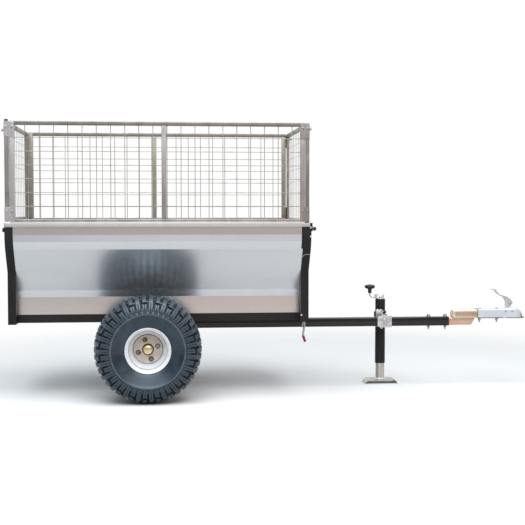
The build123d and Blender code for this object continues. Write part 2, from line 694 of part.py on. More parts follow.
LUG_OUTER_Y = PIVOT_Y - LUG_GAP
PIVOT_MEMBER_REAR_X = PIVOT_X - 5  # forward of the pivot, so that the tilted tub clears the drawbar
PIVOT_MEMBER_WIDTH = 70.0
PIVOT_MEMBER_BOTTOM = RAIL_BOTTOM + 4
with BuildPart() as pivot_crossmember:
    with BuildSketch(Plane.XY.offset(PIVOT_MEMBER_BOTTOM)):
        with Locations((PIVOT_MEMBER_REAR_X + PIVOT_MEMBER_WIDTH / 2, 0)):
            Rectangle(PIVOT_MEMBER_WIDTH, 2 * CROSS_HALF_LENGTH)
    extrude(amount=FLOOR_Z - PIVOT_MEMBER_BOTTOM)
pivot_crossmember.part.label = "pivot_crossmember"
export_step(pivot_crossmember.part, "parts/pivot_crossmember.step")

with BuildPart() as pivot_lugs:
    for _, side in SIDES:
        with BuildSketch(Plane.XZ.offset(-side * LUG_OUTER_Y)):
            with BuildLine():
                Polyline(
                    (PIVOT_MEMBER_REAR_X, PIVOT_MEMBER_BOTTOM),
                    (PIVOT_MEMBER_REAR_X + PIVOT_MEMBER_WIDTH, PIVOT_MEMBER_BOTTOM),
                    (PIVOT_X + BRACKET_HALF_HEAD, PIVOT_Z - BRACKET_HALF_HEAD),
                    (PIVOT_X - BRACKET_HALF_HEAD, PIVOT_Z - BRACKET_HALF_HEAD),
                    close=True,
                )
            make_face()
            with Locations((PIVOT_X, PIVOT_Z)):
                Circle(PIVOT_PIN_RADIUS + SPINDLE_GAP, mode=Mode.SUBTRACT)
        extrude(amount=side * BRACKET_THICKNESS)
pivot_lugs.part.label = "pivot_lugs"
export_step(pivot_lugs.part, "parts/pivot_lugs.step")

# ---- tailgate ----
GATE_DEPTH = 25.0
GATE_BOTTOM_Z = FLOOR_Z + GAP
GATE_TOP_Z = RIM_TOP - GAP
GATE_RIB_YS = (-120.0, 120.0)
GATE_RIB_WIDTH = 30.0
HINGE_KNUCKLE = (14.0, 18.0)
HINGE_KNUCKLE_END_Y = OPENING_LOW_Y - GAP
KNOB_RADIUS = 11.0
TAILGATE_KNOB_Y = 405.0
TAILGATE_KNOB_Z = 893.0
with BuildPart() as tailgate:
    with BuildSketch(Plane.YZ.offset(TUB_REAR_X)):
        with BuildLine():
            Polyline(*whole(END_OPENING), close=True)
        make_face()
        offset(amount=-GAP, kind=Kind.INTERSECTION, mode=Mode.REPLACE)
    extrude(amount=GATE_DEPTH)
    with BuildSketch(Plane.YZ.offset(TUB_REAR_X)):
        with BuildLine():
            Polyline(*whole(END_OPENING), close=True)
        make_face()
        offset(amount=-GAP - END_PLATE, kind=Kind.INTERSECTION, mode=Mode.REPLACE)
    extrude(amount=GATE_DEPTH - END_PLATE, mode=Mode.SUBTRACT)
    with BuildSketch(Plane.YZ.offset(TUB_REAR_X)):
        with Locations(*[(y, (GATE_BOTTOM_Z + GATE_TOP_Z) / 2) for y in GATE_RIB_YS]):
            Rectangle(GATE_RIB_WIDTH, GATE_TOP_Z - GATE_BOTTOM_Z)
    extrude(amount=GATE_DEPTH)
    for _, side in SIDES:
        with BuildSketch(Plane.XZ.offset(-side * TAILGATE_PIN_END_Y)):
            with Locations((TAILGATE_AXIS_X, TAILGATE_AXIS_Z + 4)):
                Rectangle(*HINGE_KNUCKLE)
        extrude(amount=-side * (HINGE_KNUCKLE_END_Y - TAILGATE_PIN_END_Y))
        with BuildSketch(Plane.XZ.offset(-side * (TAILGATE_PIN_END_Y - 2))):
            with Locations((TAILGATE_AXIS_X, TAILGATE_AXIS_Z)):
                Circle(TAILGATE_PIN_RADIUS + SPINDLE_GAP)
        extrude(amount=-side * (OPENING_LOW_Y - TAILGATE_PIN_END_Y + 2), mode=Mode.SUBTRACT)
        with BuildSketch(Plane.YZ.offset(REAR_END_X)):
            with Locations((side * TAILGATE_KNOB_Y, TAILGATE_KNOB_Z)):
                Circle(KNOB_RADIUS)
        extrude(amount=TUB_REAR_X + GATE_DEPTH - REAR_END_X)
tailgate.part.label = "tailgate"
export_step(tailgate.part, "parts/tailgate.step")

# ================= cage =================
def wire_places(first, pitch, last):
    """Evenly pitched wire positions from first up to last."""
    return [first + pitch * i for i in range(int((last - first) // pitch) + 1)]


FIRST_WIRE_Y = -360.0
WIRE_XS = wire_places(FIRST_WIRE_X, WIRE_PITCH_X, CAGE_FRONT_X - CAGE_POST)
WIRE_ZS = wire_places(FIRST_WIRE_Z, WIRE_PITCH_Z, CAGE_TOP - CAGE_TUBE)
WIRE_YS = wire_places(FIRST_WIRE_Y, WIRE_PITCH_X, RIM_Y - CAGE_TUBE)
WIRE_INSET = 14.0  # from a panel's outer face to the outer side of its wires
CAGE_HEIGHT = CAGE_TOP - CAGE_BOTTOM
CAGE_MID_X = (CAGE_REAR_X + CAGE_FRONT_X) / 2
MID_POST_OFFSET = 25.5  # the left panel is the right one turned end for end
CAGE_MID_Z = (CAGE_TOP + CAGE_BOTTOM) / 2
CAGE_LENGTH = CAGE_FRONT_X - CAGE_REAR_X
LIP = 3.0  # angle flange lapping the outside of the tub's rim
LIP_REAR_X = -1424.0
LIP_FRONT_X = 141.0
LIP_LAP = 6.0

for name, side in SIDES:
    with BuildPart() as cage_side:
        with BuildSketch(Plane.XZ.offset(-side * RIM_Y)):
            with Locations((CAGE_MID_X, CAGE_MID_Z)):
                Rectangle(CAGE_LENGTH, CAGE_HEIGHT)
                Rectangle(CAGE_LENGTH - 2 * CAGE_POST, CAGE_HEIGHT - 2 * CAGE_TUBE, mode=Mode.SUBTRACT)
            with Locations((CAGE_MID_X - side * MID_POST_OFFSET, CAGE_MID_Z)):
                Rectangle(CAGE_POST, CAGE_HEIGHT)
        extrude(amount=side * CAGE_TUBE)
        with BuildSketch(Plane.XZ.offset(-side * (RIM_Y - WIRE_INSET))):
            with Locations(*[(CAGE_MID_X - side * (x - CAGE_MID_X), CAGE_MID_Z) for x in WIRE_XS]):
                Rectangle(WIRE, CAGE_HEIGHT - CAGE_TUBE)
            with Locations(*[(CAGE_MID_X, z) for z in WIRE_ZS]):
                Rectangle(CAGE_LENGTH - CAGE_POST, WIRE)
        extrude(amount=side * WIRE)
        with BuildSketch(Plane.XZ.offset(-side * RIM_Y)):
            with Locations(((LIP_REAR_X + LIP_FRONT_X) / 2, (RIM_BOTTOM + RIM_TOP) / 2)):
                Rectangle(LIP_FRONT_X - LIP_REAR_X, RIM_TOP - RIM_BOTTOM)
            with Locations((CAGE_MID_X, RIM_TOP)):
                Rectangle(CAGE_LENGTH, 2 * LIP_LAP)
        extrude(amount=-side * LIP)
    cage_side.part.label = f"cage_side_{name}"
    export_step(cage_side.part, f"parts/cage_side_{name}.step")

CAGE_FRONT_FACE = 118.5
CAGE_FRONT_DEPTH = 18.0
with BuildPart() as cage_front:
    with BuildSketch(Plane.YZ.offset(CAGE_FRONT_FACE)):
        with Locations((0, CAGE_MID_Z)):
            Rectangle(2 * RIM_Y, CAGE_HEIGHT)
            Rectangle(2 * (RIM_Y - CAGE_TUBE), CAGE_HEIGHT - 2 * CAGE_TUBE, mode=Mode.SUBTRACT)
    extrude(amount=CAGE_FRONT_DEPTH)
    with BuildSketch(Plane.YZ.offset(CAGE_FRONT_FACE + (CAGE_FRONT_DEPTH - WIRE) / 2)):
        with Locations(*[(y, CAGE_MID_Z) for y in WIRE_YS]):
            Rectangle(WIRE, CAGE_HEIGHT - CAGE_TUBE)
        with Locations(*[(0, z) for z in WIRE_ZS]):
            Rectangle(2 * RIM_Y - CAGE_TUBE, WIRE)
    extrude(amount=WIRE)
cage_front.part.label = "cage_front"
export_step(cage_front.part, "parts/cage_front.step")

# ---- rear cage gate, hung on a round tube at the left ----
HINGE_TUBE_RADIUS = 10.0
HINGE_PIN_RADIUS = 6.0
HINGE_PIN_TOP = 990.0
HINGE_BASE = (25.0, 17.0, 3.0)  # length along X, width, thickness
with BuildPart() as gate_hinge_pin:
    with BuildSketch(Plane.XY.offset(RIM_TOP)):
        with Locations((GATE_AXIS_X, GATE_AXIS_Y)):
            Circle(HINGE_PIN_RADIUS)
    extrude(amount=HINGE_PIN_TOP - RIM_TOP)
    with BuildSketch(Plane.XY.offset(RIM_TOP)):
        with Locations((GATE_AXIS_X, RIM_Y - HINGE_BASE[1] / 2)):
            Rectangle(HINGE_BASE[0], HINGE_BASE[1])
    extrude(amount=HINGE_BASE[2])
gate_hinge_pin.part.label = "gate_hinge_pin"
export_step(gate_hinge_pin.part, "parts/gate_hinge_pin.step")

GATE_BOTTOM = RIM_TOP + GAP
GATE_HEIGHT = CAGE_TOP - GATE_BOTTOM
GATE_MID_Z = (CAGE_TOP + GATE_BOTTOM) / 2
GATE_RAIL_END_Y = GATE_AXIS_Y - 4  # the rails run into the hinge tube
GATE_WIDTH = GATE_RAIL_END_Y + RIM_Y
GATE_MID_Y = (GATE_RAIL_END_Y - RIM_Y) / 2
CAP_TOP = 1456.0
POST_CAP_RADIUS = 9.5
CAGE_KNOB_Z = 1400.0
CAGE_KNOB_RADIUS = 9.0
with BuildPart() as cage_gate:
    with BuildSketch(Plane.YZ.offset(GATE_AXIS_X - CAGE_TUBE / 2)):
        with Locations((GATE_MID_Y, GATE_MID_Z)):
            Rectangle(GATE_WIDTH, GATE_HEIGHT)
        with Locations((GATE_MID_Y + CAGE_TUBE, GATE_MID_Z)):
            Rectangle(GATE_WIDTH, GATE_HEIGHT - 2 * CAGE_TUBE, mode=Mode.SUBTRACT)
    extrude(amount=CAGE_TUBE)
    with BuildSketch(Plane.YZ.offset(GATE_AXIS_X - WIRE / 2)):
        with Locations(*[(y, GATE_MID_Z) for y in WIRE_YS]):
            Rectangle(WIRE, GATE_HEIGHT - CAGE_TUBE)
        with Locations(*[(GATE_MID_Y, z) for z in WIRE_ZS]):
            Rectangle(GATE_WIDTH, WIRE)
    extrude(amount=WIRE)
    with BuildSketch(Plane.XY.offset(GATE_BOTTOM)):
        with Locations((GATE_AXIS_X, GATE_AXIS_Y)):
            Circle(HINGE_TUBE_RADIUS)
    extrude(amount=CAGE_TOP - GATE_BOTTOM)
    with BuildSketch(Plane.XY.offset(GATE_BOTTOM)):
        with Locations((GATE_AXIS_X, GATE_AXIS_Y)):
            Circle(HINGE_PIN_RADIUS + SPINDLE_GAP)
    extrude(amount=HINGE_PIN_TOP + GAP - GATE_BOTTOM, mode=Mode.SUBTRACT)
    with BuildSketch(Plane.XY.offset(CAGE_TOP)):
        with Locations((GATE_AXIS_X, -RIM_Y + CAGE_TUBE / 2)):
            Circle(POST_CAP_RADIUS)
    extrude(amount=CAP_TOP - CAGE_TOP)
    with BuildSketch(Plane.YZ.offset(REAR_END_X)):
        with Locations((-RIM_Y + CAGE_TUBE / 2, CAGE_KNOB_Z)):
            Circle(CAGE_KNOB_RADIUS)
    extrude(amount=GATE_AXIS_X - REAR_END_X)
cage_gate.part.label = "cage_gate"
export_step(cage_gate.part, "parts/cage_gate.step")
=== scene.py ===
"""Looks of a small tipping trailer: folded tub, mesh cage, knobbly tyres, drawbar, coupling and jack.

Sizes in the classes are millimetres in the trailer's own frame: +X to the coupling, +Y left, +Z up.
"""

import logging
import math
from dataclasses import dataclass
from enum import Enum
from typing import Any, Iterable, Sequence

import bmesh
import bpy
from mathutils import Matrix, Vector


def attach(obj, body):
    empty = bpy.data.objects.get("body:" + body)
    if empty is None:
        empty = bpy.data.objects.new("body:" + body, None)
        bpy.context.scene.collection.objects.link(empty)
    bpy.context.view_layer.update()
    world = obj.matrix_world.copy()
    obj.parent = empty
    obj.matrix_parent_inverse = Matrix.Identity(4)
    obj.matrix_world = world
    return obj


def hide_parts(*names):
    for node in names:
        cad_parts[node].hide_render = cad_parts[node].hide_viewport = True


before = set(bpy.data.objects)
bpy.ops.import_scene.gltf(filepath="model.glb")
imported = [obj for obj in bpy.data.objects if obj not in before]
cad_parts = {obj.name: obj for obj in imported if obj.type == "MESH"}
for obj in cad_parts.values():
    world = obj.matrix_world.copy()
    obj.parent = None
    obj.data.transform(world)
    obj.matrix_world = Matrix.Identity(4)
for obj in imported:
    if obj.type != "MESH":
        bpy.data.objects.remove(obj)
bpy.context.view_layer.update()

MM = 0.001
SMOOTH_ANGLE = math.radians(38)  # edges sharper than this stay sharp in the shading
SHARP_ANGLE = math.radians(28)  # edges sharper than this are rounded
PLATE_FACE = 200.0  # square millimetres; larger faces of a thin plate are shaded flat

Point = tuple[float, float, float]
Pair = tuple[float, float]
Colour = tuple[float, float, float]
Scale = float | tuple[float, float, float]
Line = Sequence[Pair]
Wire = tuple[Point, Point, "Along"]
Station = tuple[Pair, Pair, float, float]

log = logging.getLogger("trailer")


class Body(Enum):
    """The bodies that pieces ride on, by their packed names."""

    CHASSIS = "chassis"
    TUB = "tub"
    CAGE_GATE = "rear_cage_gate"
    WHEEL_LEFT = "wheel_left"
    WHEEL_RIGHT = "wheel_right"
    JACK = "swivel_jack"
    JACK_LEG = "jack_slide"


class Side(Enum):
    """The two sides of the trailer, as the sign of Y."""

    LEFT = 1
    RIGHT = -1

    @property
    def word(self) -> str:
        """The side's name as it stands in part names."""
        return self.name.lower()


class Lie(Enum):
    """The plane that an outline is drawn on, as the order of its axes: across, up, depth."""

    XZ = (0, 2, 1)
    YZ = (1, 2, 0)
    XY = (0, 1, 2)


class Along(Enum):
    """An axis that a turned or hexagonal part stands along."""

    X = 0
    Y = 1
    Z = 2

    def around(self, centre: Point, distance: float, radius: float, angle: float) -> Point:
        """A point about the axis.

        Args:
            centre: Where the axis starts.
            distance: How far along it.
            radius: How far out from it.
            angle: The turn about it, in radians.

        Returns:
            The point.
        """
        across, up = [(1, 2), (0, 2), (0, 1)][self.value]
        point = list(centre)
        point[self.value] += distance
        point[across] += radius * math.cos(angle)
        point[up] += radius * math.sin(angle)
        return tuple(point)


def metres(point: Point) -> Point:
    """A point or step in metres."""
    return tuple(v * MM for v in point)


# ---------------------------------------------------------------- shader graph


class Value:
    """A number that varies over a surface; + and * on it add Math nodes."""

    def __init__(self, graph: "Graph", socket: bpy.types.NodeSocket) -> None:
        """Holds the socket.

        Args:
            graph: The graph that the socket belongs to.
            socket: The output that carries the number.
        """
        self.graph = graph
        self.socket = socket

    def _math(self, operation: str, first: Any, second: Any) -> "Value":
        """Adds one Math node and returns what it gives."""
        node = self.graph.node("ShaderNodeMath", {"operation": operation}, {0: first, 1: second})
        return Value(self.graph, node.outputs[0])

    def __add__(self, other: Any) -> "Value":
        """Self plus other."""
        return self._math("ADD", self, other)

    __radd__ = __add__

    def __mul__(self, other: Any) -> "Value":
        """Self times other."""
        return self._math("MULTIPLY", self, other)

    __rmul__ = __mul__


class Nodes:
    """A node tree, and the one way that nodes are added to it."""

    def __init__(self, tree: bpy.types.NodeTree) -> None:
        """Empties the tree.

        Args:
            tree: The tree.
        """
        self.tree = tree
        tree.nodes.clear()

    def source(self, value: Any) -> Any:
        """The socket that a Value carries, or any other value as it is."""
        return value.socket if isinstance(value, Value) else value

    def node(
        self, kind: str, settings: dict[str, Any] | None = None, inputs: dict[Any, Any] | None = None
    ) -> bpy.types.Node:
        """Adds a node of any kind.

        Args:
            kind: The node's type.
            settings: Its properties, set first; "stops" is a ramp's list of (place, colour).
            inputs: Values or links for its sockets, by name or number.

        Returns:
            The node.
        """
        made = self.tree.nodes.new(kind)
        for key, value in (settings or {}).items():
            if key == "stops":
                elements = made.color_ramp.elements
                while len(elements) < len(value):
                    elements.new(0.5)
                for element, (place, colour) in zip(elements, value):
                    element.position = place
                    element.color = (*colour, 1)
            else:
                setattr(made, key, value)
        for key, value in (inputs or {}).items():
            value = self.source(value)
            if isinstance(value, bpy.types.NodeSocket):
                self.tree.links.new(value, made.inputs[key])
            else:
                made.inputs[key].default_value = value
        return made


class Graph(Nodes):
    """The node graph of one finish or of the sky."""

    COAT_ROUGHNESS = 0.08
    NOISE = (0.3, 0.7)  # nearly all of a noise lies between these

    def __init__(self, owner: bpy.types.Material | bpy.types.World) -> None:
        """Starts an empty graph.

        Args:
            owner: The new material or world.
        """
        owner.use_nodes = True
        self.owner = owner
        super().__init__(owner.node_tree)

    def place(self, scale: Scale = 1) -> bpy.types.NodeSocket:
        """Object coordinates, scaled.

        Args:
            scale: Pattern units to a metre, along each axis or along all three.

        Returns:
            The vector socket.
        """
        where = self.node("ShaderNodeTexCoord").outputs["Object"]
        sizes = scale if isinstance(scale, tuple) else (scale, scale, scale)
        return self.node("ShaderNodeMapping", {}, {"Vector": where, "Scale": sizes}).outputs[0]

    def cloud(self, scale: Scale, detail: float = 3.0, rough: float = 0.55, warp: float = 0.0) -> Value:
        """Soft noise, 0 to 1 with its middle at 0.5.

        Args:
            scale: Blotches to a metre, along each axis or along all three.
            detail: Octaves.
            rough: How strong the finer octaves are.
            warp: Distortion.

        Returns:
            The noise.
        """
        shape = {"Scale": 1.0, "Detail": detail, "Roughness": rough, "Distortion": warp}
        made = self.node("ShaderNodeTexNoise", {}, {"Vector": self.place(scale), **shape})
        return Value(self, made.outputs["Fac"])

    def flakes(self, scale: Scale) -> Value:
        """Random grey for each crystal of a spangled surface.

        Args:
            scale: Crystals to a metre, along each axis or along all three.

        Returns:
            A value from 0 to 1, steady over one crystal.
        """
        shape = {"Scale": 1.0, "Randomness": 1.0}
        cells = self.node("ShaderNodeTexVoronoi", {"feature": "F1"}, {"Vector": self.place(scale), **shape})
        parts = self.node("ShaderNodeSeparateColor", {}, {0: cells.outputs["Color"]})
        return Value(self, parts.outputs[0])

    def reach(
        self, value: Value, low: float, high: float, to_low: float = 0.0, to_high: float = 1.0
    ) -> Value:
        """Eases a value from one range into another and holds it there.

        Args:
            value: What is eased.
            low: Start of its range.
            high: End of its range.
            to_low: Result at the start.
            to_high: Result at the end.

        Returns:
            The eased value.
        """
        made = self.node(
            "ShaderNodeMapRange",
            {"interpolation_type": "SMOOTHSTEP", "clamp": True},
            {"Value": value, "From Min": low, "From Max": high, "To Min": to_low, "To Max": to_high},
        )
        return Value(self, made.outputs[0])

    def spread(self, noise: Value, low: float, high: float) -> Value:
        """Eases nearly all of a noise into a range of its own."""
        return self.reach(noise, *self.NOISE, low, high)

    def mix(self, factor: Any, first: Any, second: Any) -> bpy.types.NodeSocket:
        """Blends two colours.

        Args:
            factor: 0 for the first, 1 for the second.
            first: A colour or a colour socket.
            second: A colour or a colour socket.

        Returns:
            The colour socket.
        """
        fill = [(*c, 1) if isinstance(c, tuple) else c for c in (first, second)]
        made = self.node("ShaderNodeMix", {"data_type": "RGBA"}, {0: factor, 6: fill[0], 7: fill[1]})
        return made.outputs[2]

    def edge_wear_and_highlight(self, low: float, high: float) -> Value:
        """A mask that is 1 on outer edges and corners, from the mesh's pointiness: edge wear on the powder
        coat, painted edge highlights on the tyre and on the passivated zinc.
        """
        pointed = self.node("ShaderNodeNewGeometry").outputs["Pointiness"]
        return self.reach(Value(self, pointed), low, high)

    def surface(
        self,
        colour: bpy.types.NodeSocket,
        rough: Value,
        *,
        metallic: float,
        height: Value,
        depth: float,
        specular: float = 0.5,
        coat: float = 0.0,
        tint: Colour = (1, 1, 1),
    ) -> bpy.types.Material:
        """Closes the graph with one Principled shader.

        Args:
            colour: The base colour's socket.
            rough: Roughness.
            metallic: How metallic it is.
            height: Relief for the bump, 0 to 1.
            depth: What a full step of height is, in millimetres.
            specular: Strength of the surface's own shine.
            coat: Weight of a smooth clear coat.
            tint: Colour of the surface's own shine.

        Returns:
            The material.
        """
        bump = self.node("ShaderNodeBump", {}, {"Height": height, "Distance": depth * MM, "Strength": 1.0})
        inputs = {
            "Base Color": colour,
            "Roughness": rough,
            "Metallic": metallic,
            "Specular IOR Level": specular,
            "Specular Tint": (*tint, 1),
            "Coat Weight": coat,
            "Coat Roughness": self.COAT_ROUGHNESS,
            "Normal": bump.outputs[0],
        }
        shader = self.node("ShaderNodeBsdfPrincipled", {}, inputs)
        self.node("ShaderNodeOutputMaterial", {}, {"Surface": shader.outputs[0]})
        return self.owner


# ---------------------------------------------------------------- finishes


@dataclass(frozen=True)
class Finish:
    """A finish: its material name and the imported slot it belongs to."""

    name: str
    slot: str

    def build(self, graph: Graph) -> bpy.types.Material:
        """Draws the finish in an empty graph; each kind of finish has its own."""
        raise NotImplementedError

    def material(self) -> bpy.types.Material:
        """The finish's material, made the first time it is asked for."""
        found = bpy.data.materials.get(self.name)
        return found or self.build(Graph(bpy.data.materials.new(self.name)))


@dataclass(frozen=True)
class PowderCoat(Finish):
    """Black powder coat with fine orange peel, faint road dust and lighter edges."""

    paint: Colour = (0.0026, 0.0026, 0.0034)
    dust: Colour = (0.008, 0.008, 0.009)
    edge: Colour = (0.10, 0.095, 0.095)
    gloss: float = 0.32
    shine: float = 0.25
    coat: float = 0.0

    def build(self, graph: Graph) -> bpy.types.Material:
        """Draws the finish.

        Args:
            graph: An empty graph.

        Returns:
            The material.
        """
        patches = graph.cloud(9, 4)
        peel = graph.cloud(420, 2)
        film = graph.reach(patches, 0.42, 0.75, 0.0, 0.5)
        colour = graph.mix(film, self.paint, self.dust)
        colour = graph.mix(graph.edge_wear_and_highlight(0.53, 0.62) * 0.2, colour, self.edge)
        rough = graph.spread(patches, self.gloss, self.gloss + 0.16)
        return graph.surface(
            colour, rough, metallic=0.0, height=peel, depth=0.06, specular=self.shine, coat=self.coat
        )


@dataclass(frozen=True)
class BrightSheet(Finish):
    """Bright zinc-coated sheet: long rolling streaks, faint spangle, shallow waviness."""

    light: Colour = (0.86, 0.88, 0.91)
    dull: Colour = (0.80, 0.82, 0.85)
    rough: float = 0.22

    def build(self, graph: Graph) -> bpy.types.Material:
        """Draws the finish.

        Args:
            graph: An empty graph.

        Returns:
            The material.
        """
        streaks = graph.cloud((0.5, 16, 16), 2, rough=0.5)
        spangle = graph.flakes(55)
        clouds = graph.cloud((2, 5, 5), 2)
        tone = streaks * 0.35 + spangle * 0.08 + clouds * 0.55
        colour = graph.mix(graph.spread(tone, 0, 1), self.light, self.dull)
        rough = graph.reach(tone, 0.3, 0.75, self.rough - 0.01, self.rough + 0.03)
        waves = graph.cloud((1.2, 5, 5), 1)
        return graph.surface(colour, rough, metallic=0.88, height=waves, depth=0.1)


@dataclass(frozen=True)
class DippedTube(Finish):
    """Hot-dipped tube or wire: mottled grey zinc with darker, warmer drifts."""

    light: Colour = (0.42, 0.40, 0.38)
    dark: Colour = (0.17, 0.145, 0.13)
    drift: float = 0.5
    rough: float = 0.36
    blotches: Scale = (14, 14, 5)
    metal: float = 0.8

    def build(self, graph: Graph) -> bpy.types.Material:
        """Draws the finish.

        Args:
            graph: An empty graph.

        Returns:
            The material.
        """
        drifts = graph.cloud(self.blotches, 4, rough=0.6, warp=0.4)
        grain = graph.cloud(260, 3)
        tone = drifts * 0.75 + grain * 0.25 + (self.drift - 0.5)
        colour = graph.mix(graph.reach(tone, 0.32, 0.72), self.light, self.dark)
        rough = graph.reach(tone, 0.3, 0.8, self.rough, self.rough + 0.2)
        return graph.surface(colour, rough, metallic=self.metal, height=grain, depth=0.1)


@dataclass(frozen=True)
class ZincPlate(Finish):
    """Bright zinc plate: bluish white with faint clouding and handling marks."""

    light: Colour = (0.80, 0.83, 0.88)
    dark: Colour = (0.42, 0.45, 0.50)
    rough: float = 0.3
    metal: float = 1.0

    def build(self, graph: Graph) -> bpy.types.Material:
        """Draws the finish.

        Args:
            graph: An empty graph.

        Returns:
            The material.
        """
        clouds = graph.cloud(40, 4, rough=0.6)
        grain = graph.cloud(700, 2)
        colour = graph.mix(graph.reach(clouds * 0.8 + grain * 0.2, 0.45, 0.75), self.light, self.dark)
        rough = graph.spread(clouds, self.rough, self.rough + 0.15)
        return graph.surface(colour, rough, metallic=self.metal, height=grain, depth=0.05)


@dataclass(frozen=True)
class GoldZinc(Finish):
    """Yellow passivated zinc: pink and straw drifts, with a yellow-green highlight painted along the edges.
    """

    straw: Colour = (0.90, 0.62, 0.46)
    pink: Colour = (0.86, 0.46, 0.40)
    # edge: a painted highlight along the edges and corners.
    edge: Colour = (0.92, 0.88, 0.50)
    drift: float = 0.0

    def build(self, graph: Graph) -> bpy.types.Material:
        """Draws the finish.

        Args:
            graph: An empty graph.

        Returns:
            The material.
        """
        drifts = graph.cloud((9, 30, 30), 3, rough=0.5, warp=0.4)
        marks = graph.cloud(60, 4)
        colour = graph.mix(graph.reach(drifts + self.drift, 0.38, 0.68), self.pink, self.straw)
        # Painted highlight: yellow-green on the edges and corners.
        colour = graph.mix(graph.edge_wear_and_highlight(0.53, 0.62), colour, self.edge)
        rough = graph.spread(marks, 0.24, 0.36)
        return graph.surface(colour, rough, metallic=0.6, height=marks, depth=0.05)


@dataclass(frozen=True)
class SilverPaint(Finish):
    """Silver wheel paint with fine metal grain and brake-dust shading."""

    light: Colour = (0.95, 0.96, 0.99)
    shade: Colour = (0.84, 0.85, 0.88)

    def build(self, graph: Graph) -> bpy.types.Material:
        """Draws the finish.

        Args:
            graph: An empty graph.

        Returns:
            The material.
        """
        grain = graph.cloud(900, 2)
        clouds = graph.cloud(22, 3)
        colour = graph.mix(graph.reach(clouds * 0.7 + grain * 0.3, 0.42, 0.8), self.light, self.shade)
        rough = graph.spread(grain, 0.3, 0.4)
        return graph.surface(colour, rough, metallic=0.15, height=grain, depth=0.05)


@dataclass(frozen=True)
class HubMetal(Finish):
    """Machined and passivated hub plate, mottled brown and grey-green."""

    brown: Colour = (0.64, 0.54, 0.48)
    grey: Colour = (0.68, 0.64, 0.56)

    def build(self, graph: Graph) -> bpy.types.Material:
        """Draws the finish.

        Args:
            graph: An empty graph.

        Returns:
            The material.
        """
        drifts = graph.cloud(38, 5, rough=0.6, warp=0.6)
        grain = graph.cloud(500, 2)
        colour = graph.mix(graph.reach(drifts, 0.4, 0.62), self.brown, self.grey)
        rough = graph.spread(drifts, 0.5, 0.36)
        return graph.surface(colour, rough, metallic=0.5, height=grain, depth=0.1)


@dataclass(frozen=True)
class PaleBrass(Finish):
    """Pale brass grease cap with fine turned scratches."""

    metal: Colour = (0.98, 0.82, 0.50)
    tarnish: Colour = (0.80, 0.62, 0.32)

    def build(self, graph: Graph) -> bpy.types.Material:
        """Draws the finish.

        Args:
            graph: An empty graph.

        Returns:
            The material.
        """
        patches = graph.cloud(70, 4)
        colour = graph.mix(graph.reach(patches, 0.45, 0.75), self.metal, self.tarnish)
        scratches = graph.cloud((800, 60, 800), 2)
        rough = graph.spread(patches, 0.22, 0.4)
        return graph.surface(colour, rough, metallic=1.0, height=scratches, depth=0.05)


@dataclass(frozen=True)
class TyreRubber(Finish):
    """New tyre rubber: blue-black, satin on the sidewall, dusty in patches, with a blue-grey highlight
    painted along the edges of the blocks.
    """

    black: Colour = (0.009, 0.014, 0.023)
    bloom: Colour = (0.024, 0.040, 0.060)
    # edge: a painted blue-grey highlight along the blocks' edges.
    edge: Colour = (0.10, 0.13, 0.16)
    shine: Colour = (0.72, 0.90, 1.0)

    def build(self, graph: Graph) -> bpy.types.Material:
        """Draws the finish.

        Args:
            graph: An empty graph.

        Returns:
            The material.
        """
        patches = graph.cloud(18, 4)
        grain = graph.cloud(600, 2)
        colour = graph.mix(graph.reach(patches, 0.35, 0.75), self.black, self.bloom)
        # Painted highlight: blue-grey along the blocks' edges.
        colour = graph.mix(graph.edge_wear_and_highlight(0.52, 0.62) * 0.45, colour, self.edge)
        rough = graph.spread(patches, 0.25, 0.36)
        return graph.surface(
            colour, rough, metallic=0.0, height=grain, depth=0.1, specular=1.0, tint=self.shine
        )


@dataclass(frozen=True)
class Moulded(Finish):
    """Moulded or dipped plastic or rubber with a fine grain."""

    tone: Colour = (0.02, 0.02, 0.022)
    faded: Colour = (0.06, 0.06, 0.06)
    rough: float = 0.4
    grain: float = 0.1

    def build(self, graph: Graph) -> bpy.types.Material:
        """Draws the finish.

        Args:
            graph: An empty graph.

        Returns:
            The material.
        """
        patches = graph.cloud(45, 3)
        grain = graph.cloud(650, 2)
        colour = graph.mix(graph.reach(patches, 0.4, 0.8, 0.0, 0.7), self.tone, self.faded)
        rough = graph.spread(patches, self.rough, self.rough + 0.15)
        return graph.surface(colour, rough, metallic=0.0, height=grain, depth=self.grain)


@dataclass(frozen=True)
class StudioFloor(Finish):
    """Pale matt studio floor, dimmer in reflections so that undersides stay dark.

    It is solid out to one radius and gone at another, in metres.
    """

    pale: Colour = (0.95, 0.94, 0.93)
    bounced: Colour = (0.56, 0.55, 0.54)
    solid: float = 1.9
    gone: float = 3.6

    def build(self, graph: Graph) -> bpy.types.Material:
        """Draws the finish.

        Args:
            graph: An empty graph.

        Returns:
            The material.
        """
        clouds = graph.cloud(2, 2)
        scuffed = tuple(c * 0.98 for c in self.pale)
        colour = graph.mix(graph.spread(clouds, 0, 1), self.pale, scuffed)
        where = graph.node("ShaderNodeVectorMath", {"operation": "LENGTH"}, {0: graph.place()})
        fade = graph.reach(Value(graph, where.outputs["Value"]), self.solid, self.gone, 1.0, 0.0)
        seen = graph.node("ShaderNodeLightPath").outputs["Is Camera Ray"]
        colour = graph.mix(seen, self.bounced, colour)
        matt = graph.node("ShaderNodeBsdfDiffuse", {}, {"Color": colour})
        clear = graph.node("ShaderNodeBsdfTransparent")
        mixed = graph.node("ShaderNodeMixShader", {}, {0: fade, 1: clear.outputs[0], 2: matt.outputs[0]})
        graph.node("ShaderNodeOutputMaterial", {}, {"Surface": mixed.outputs[0]})
        return graph.owner


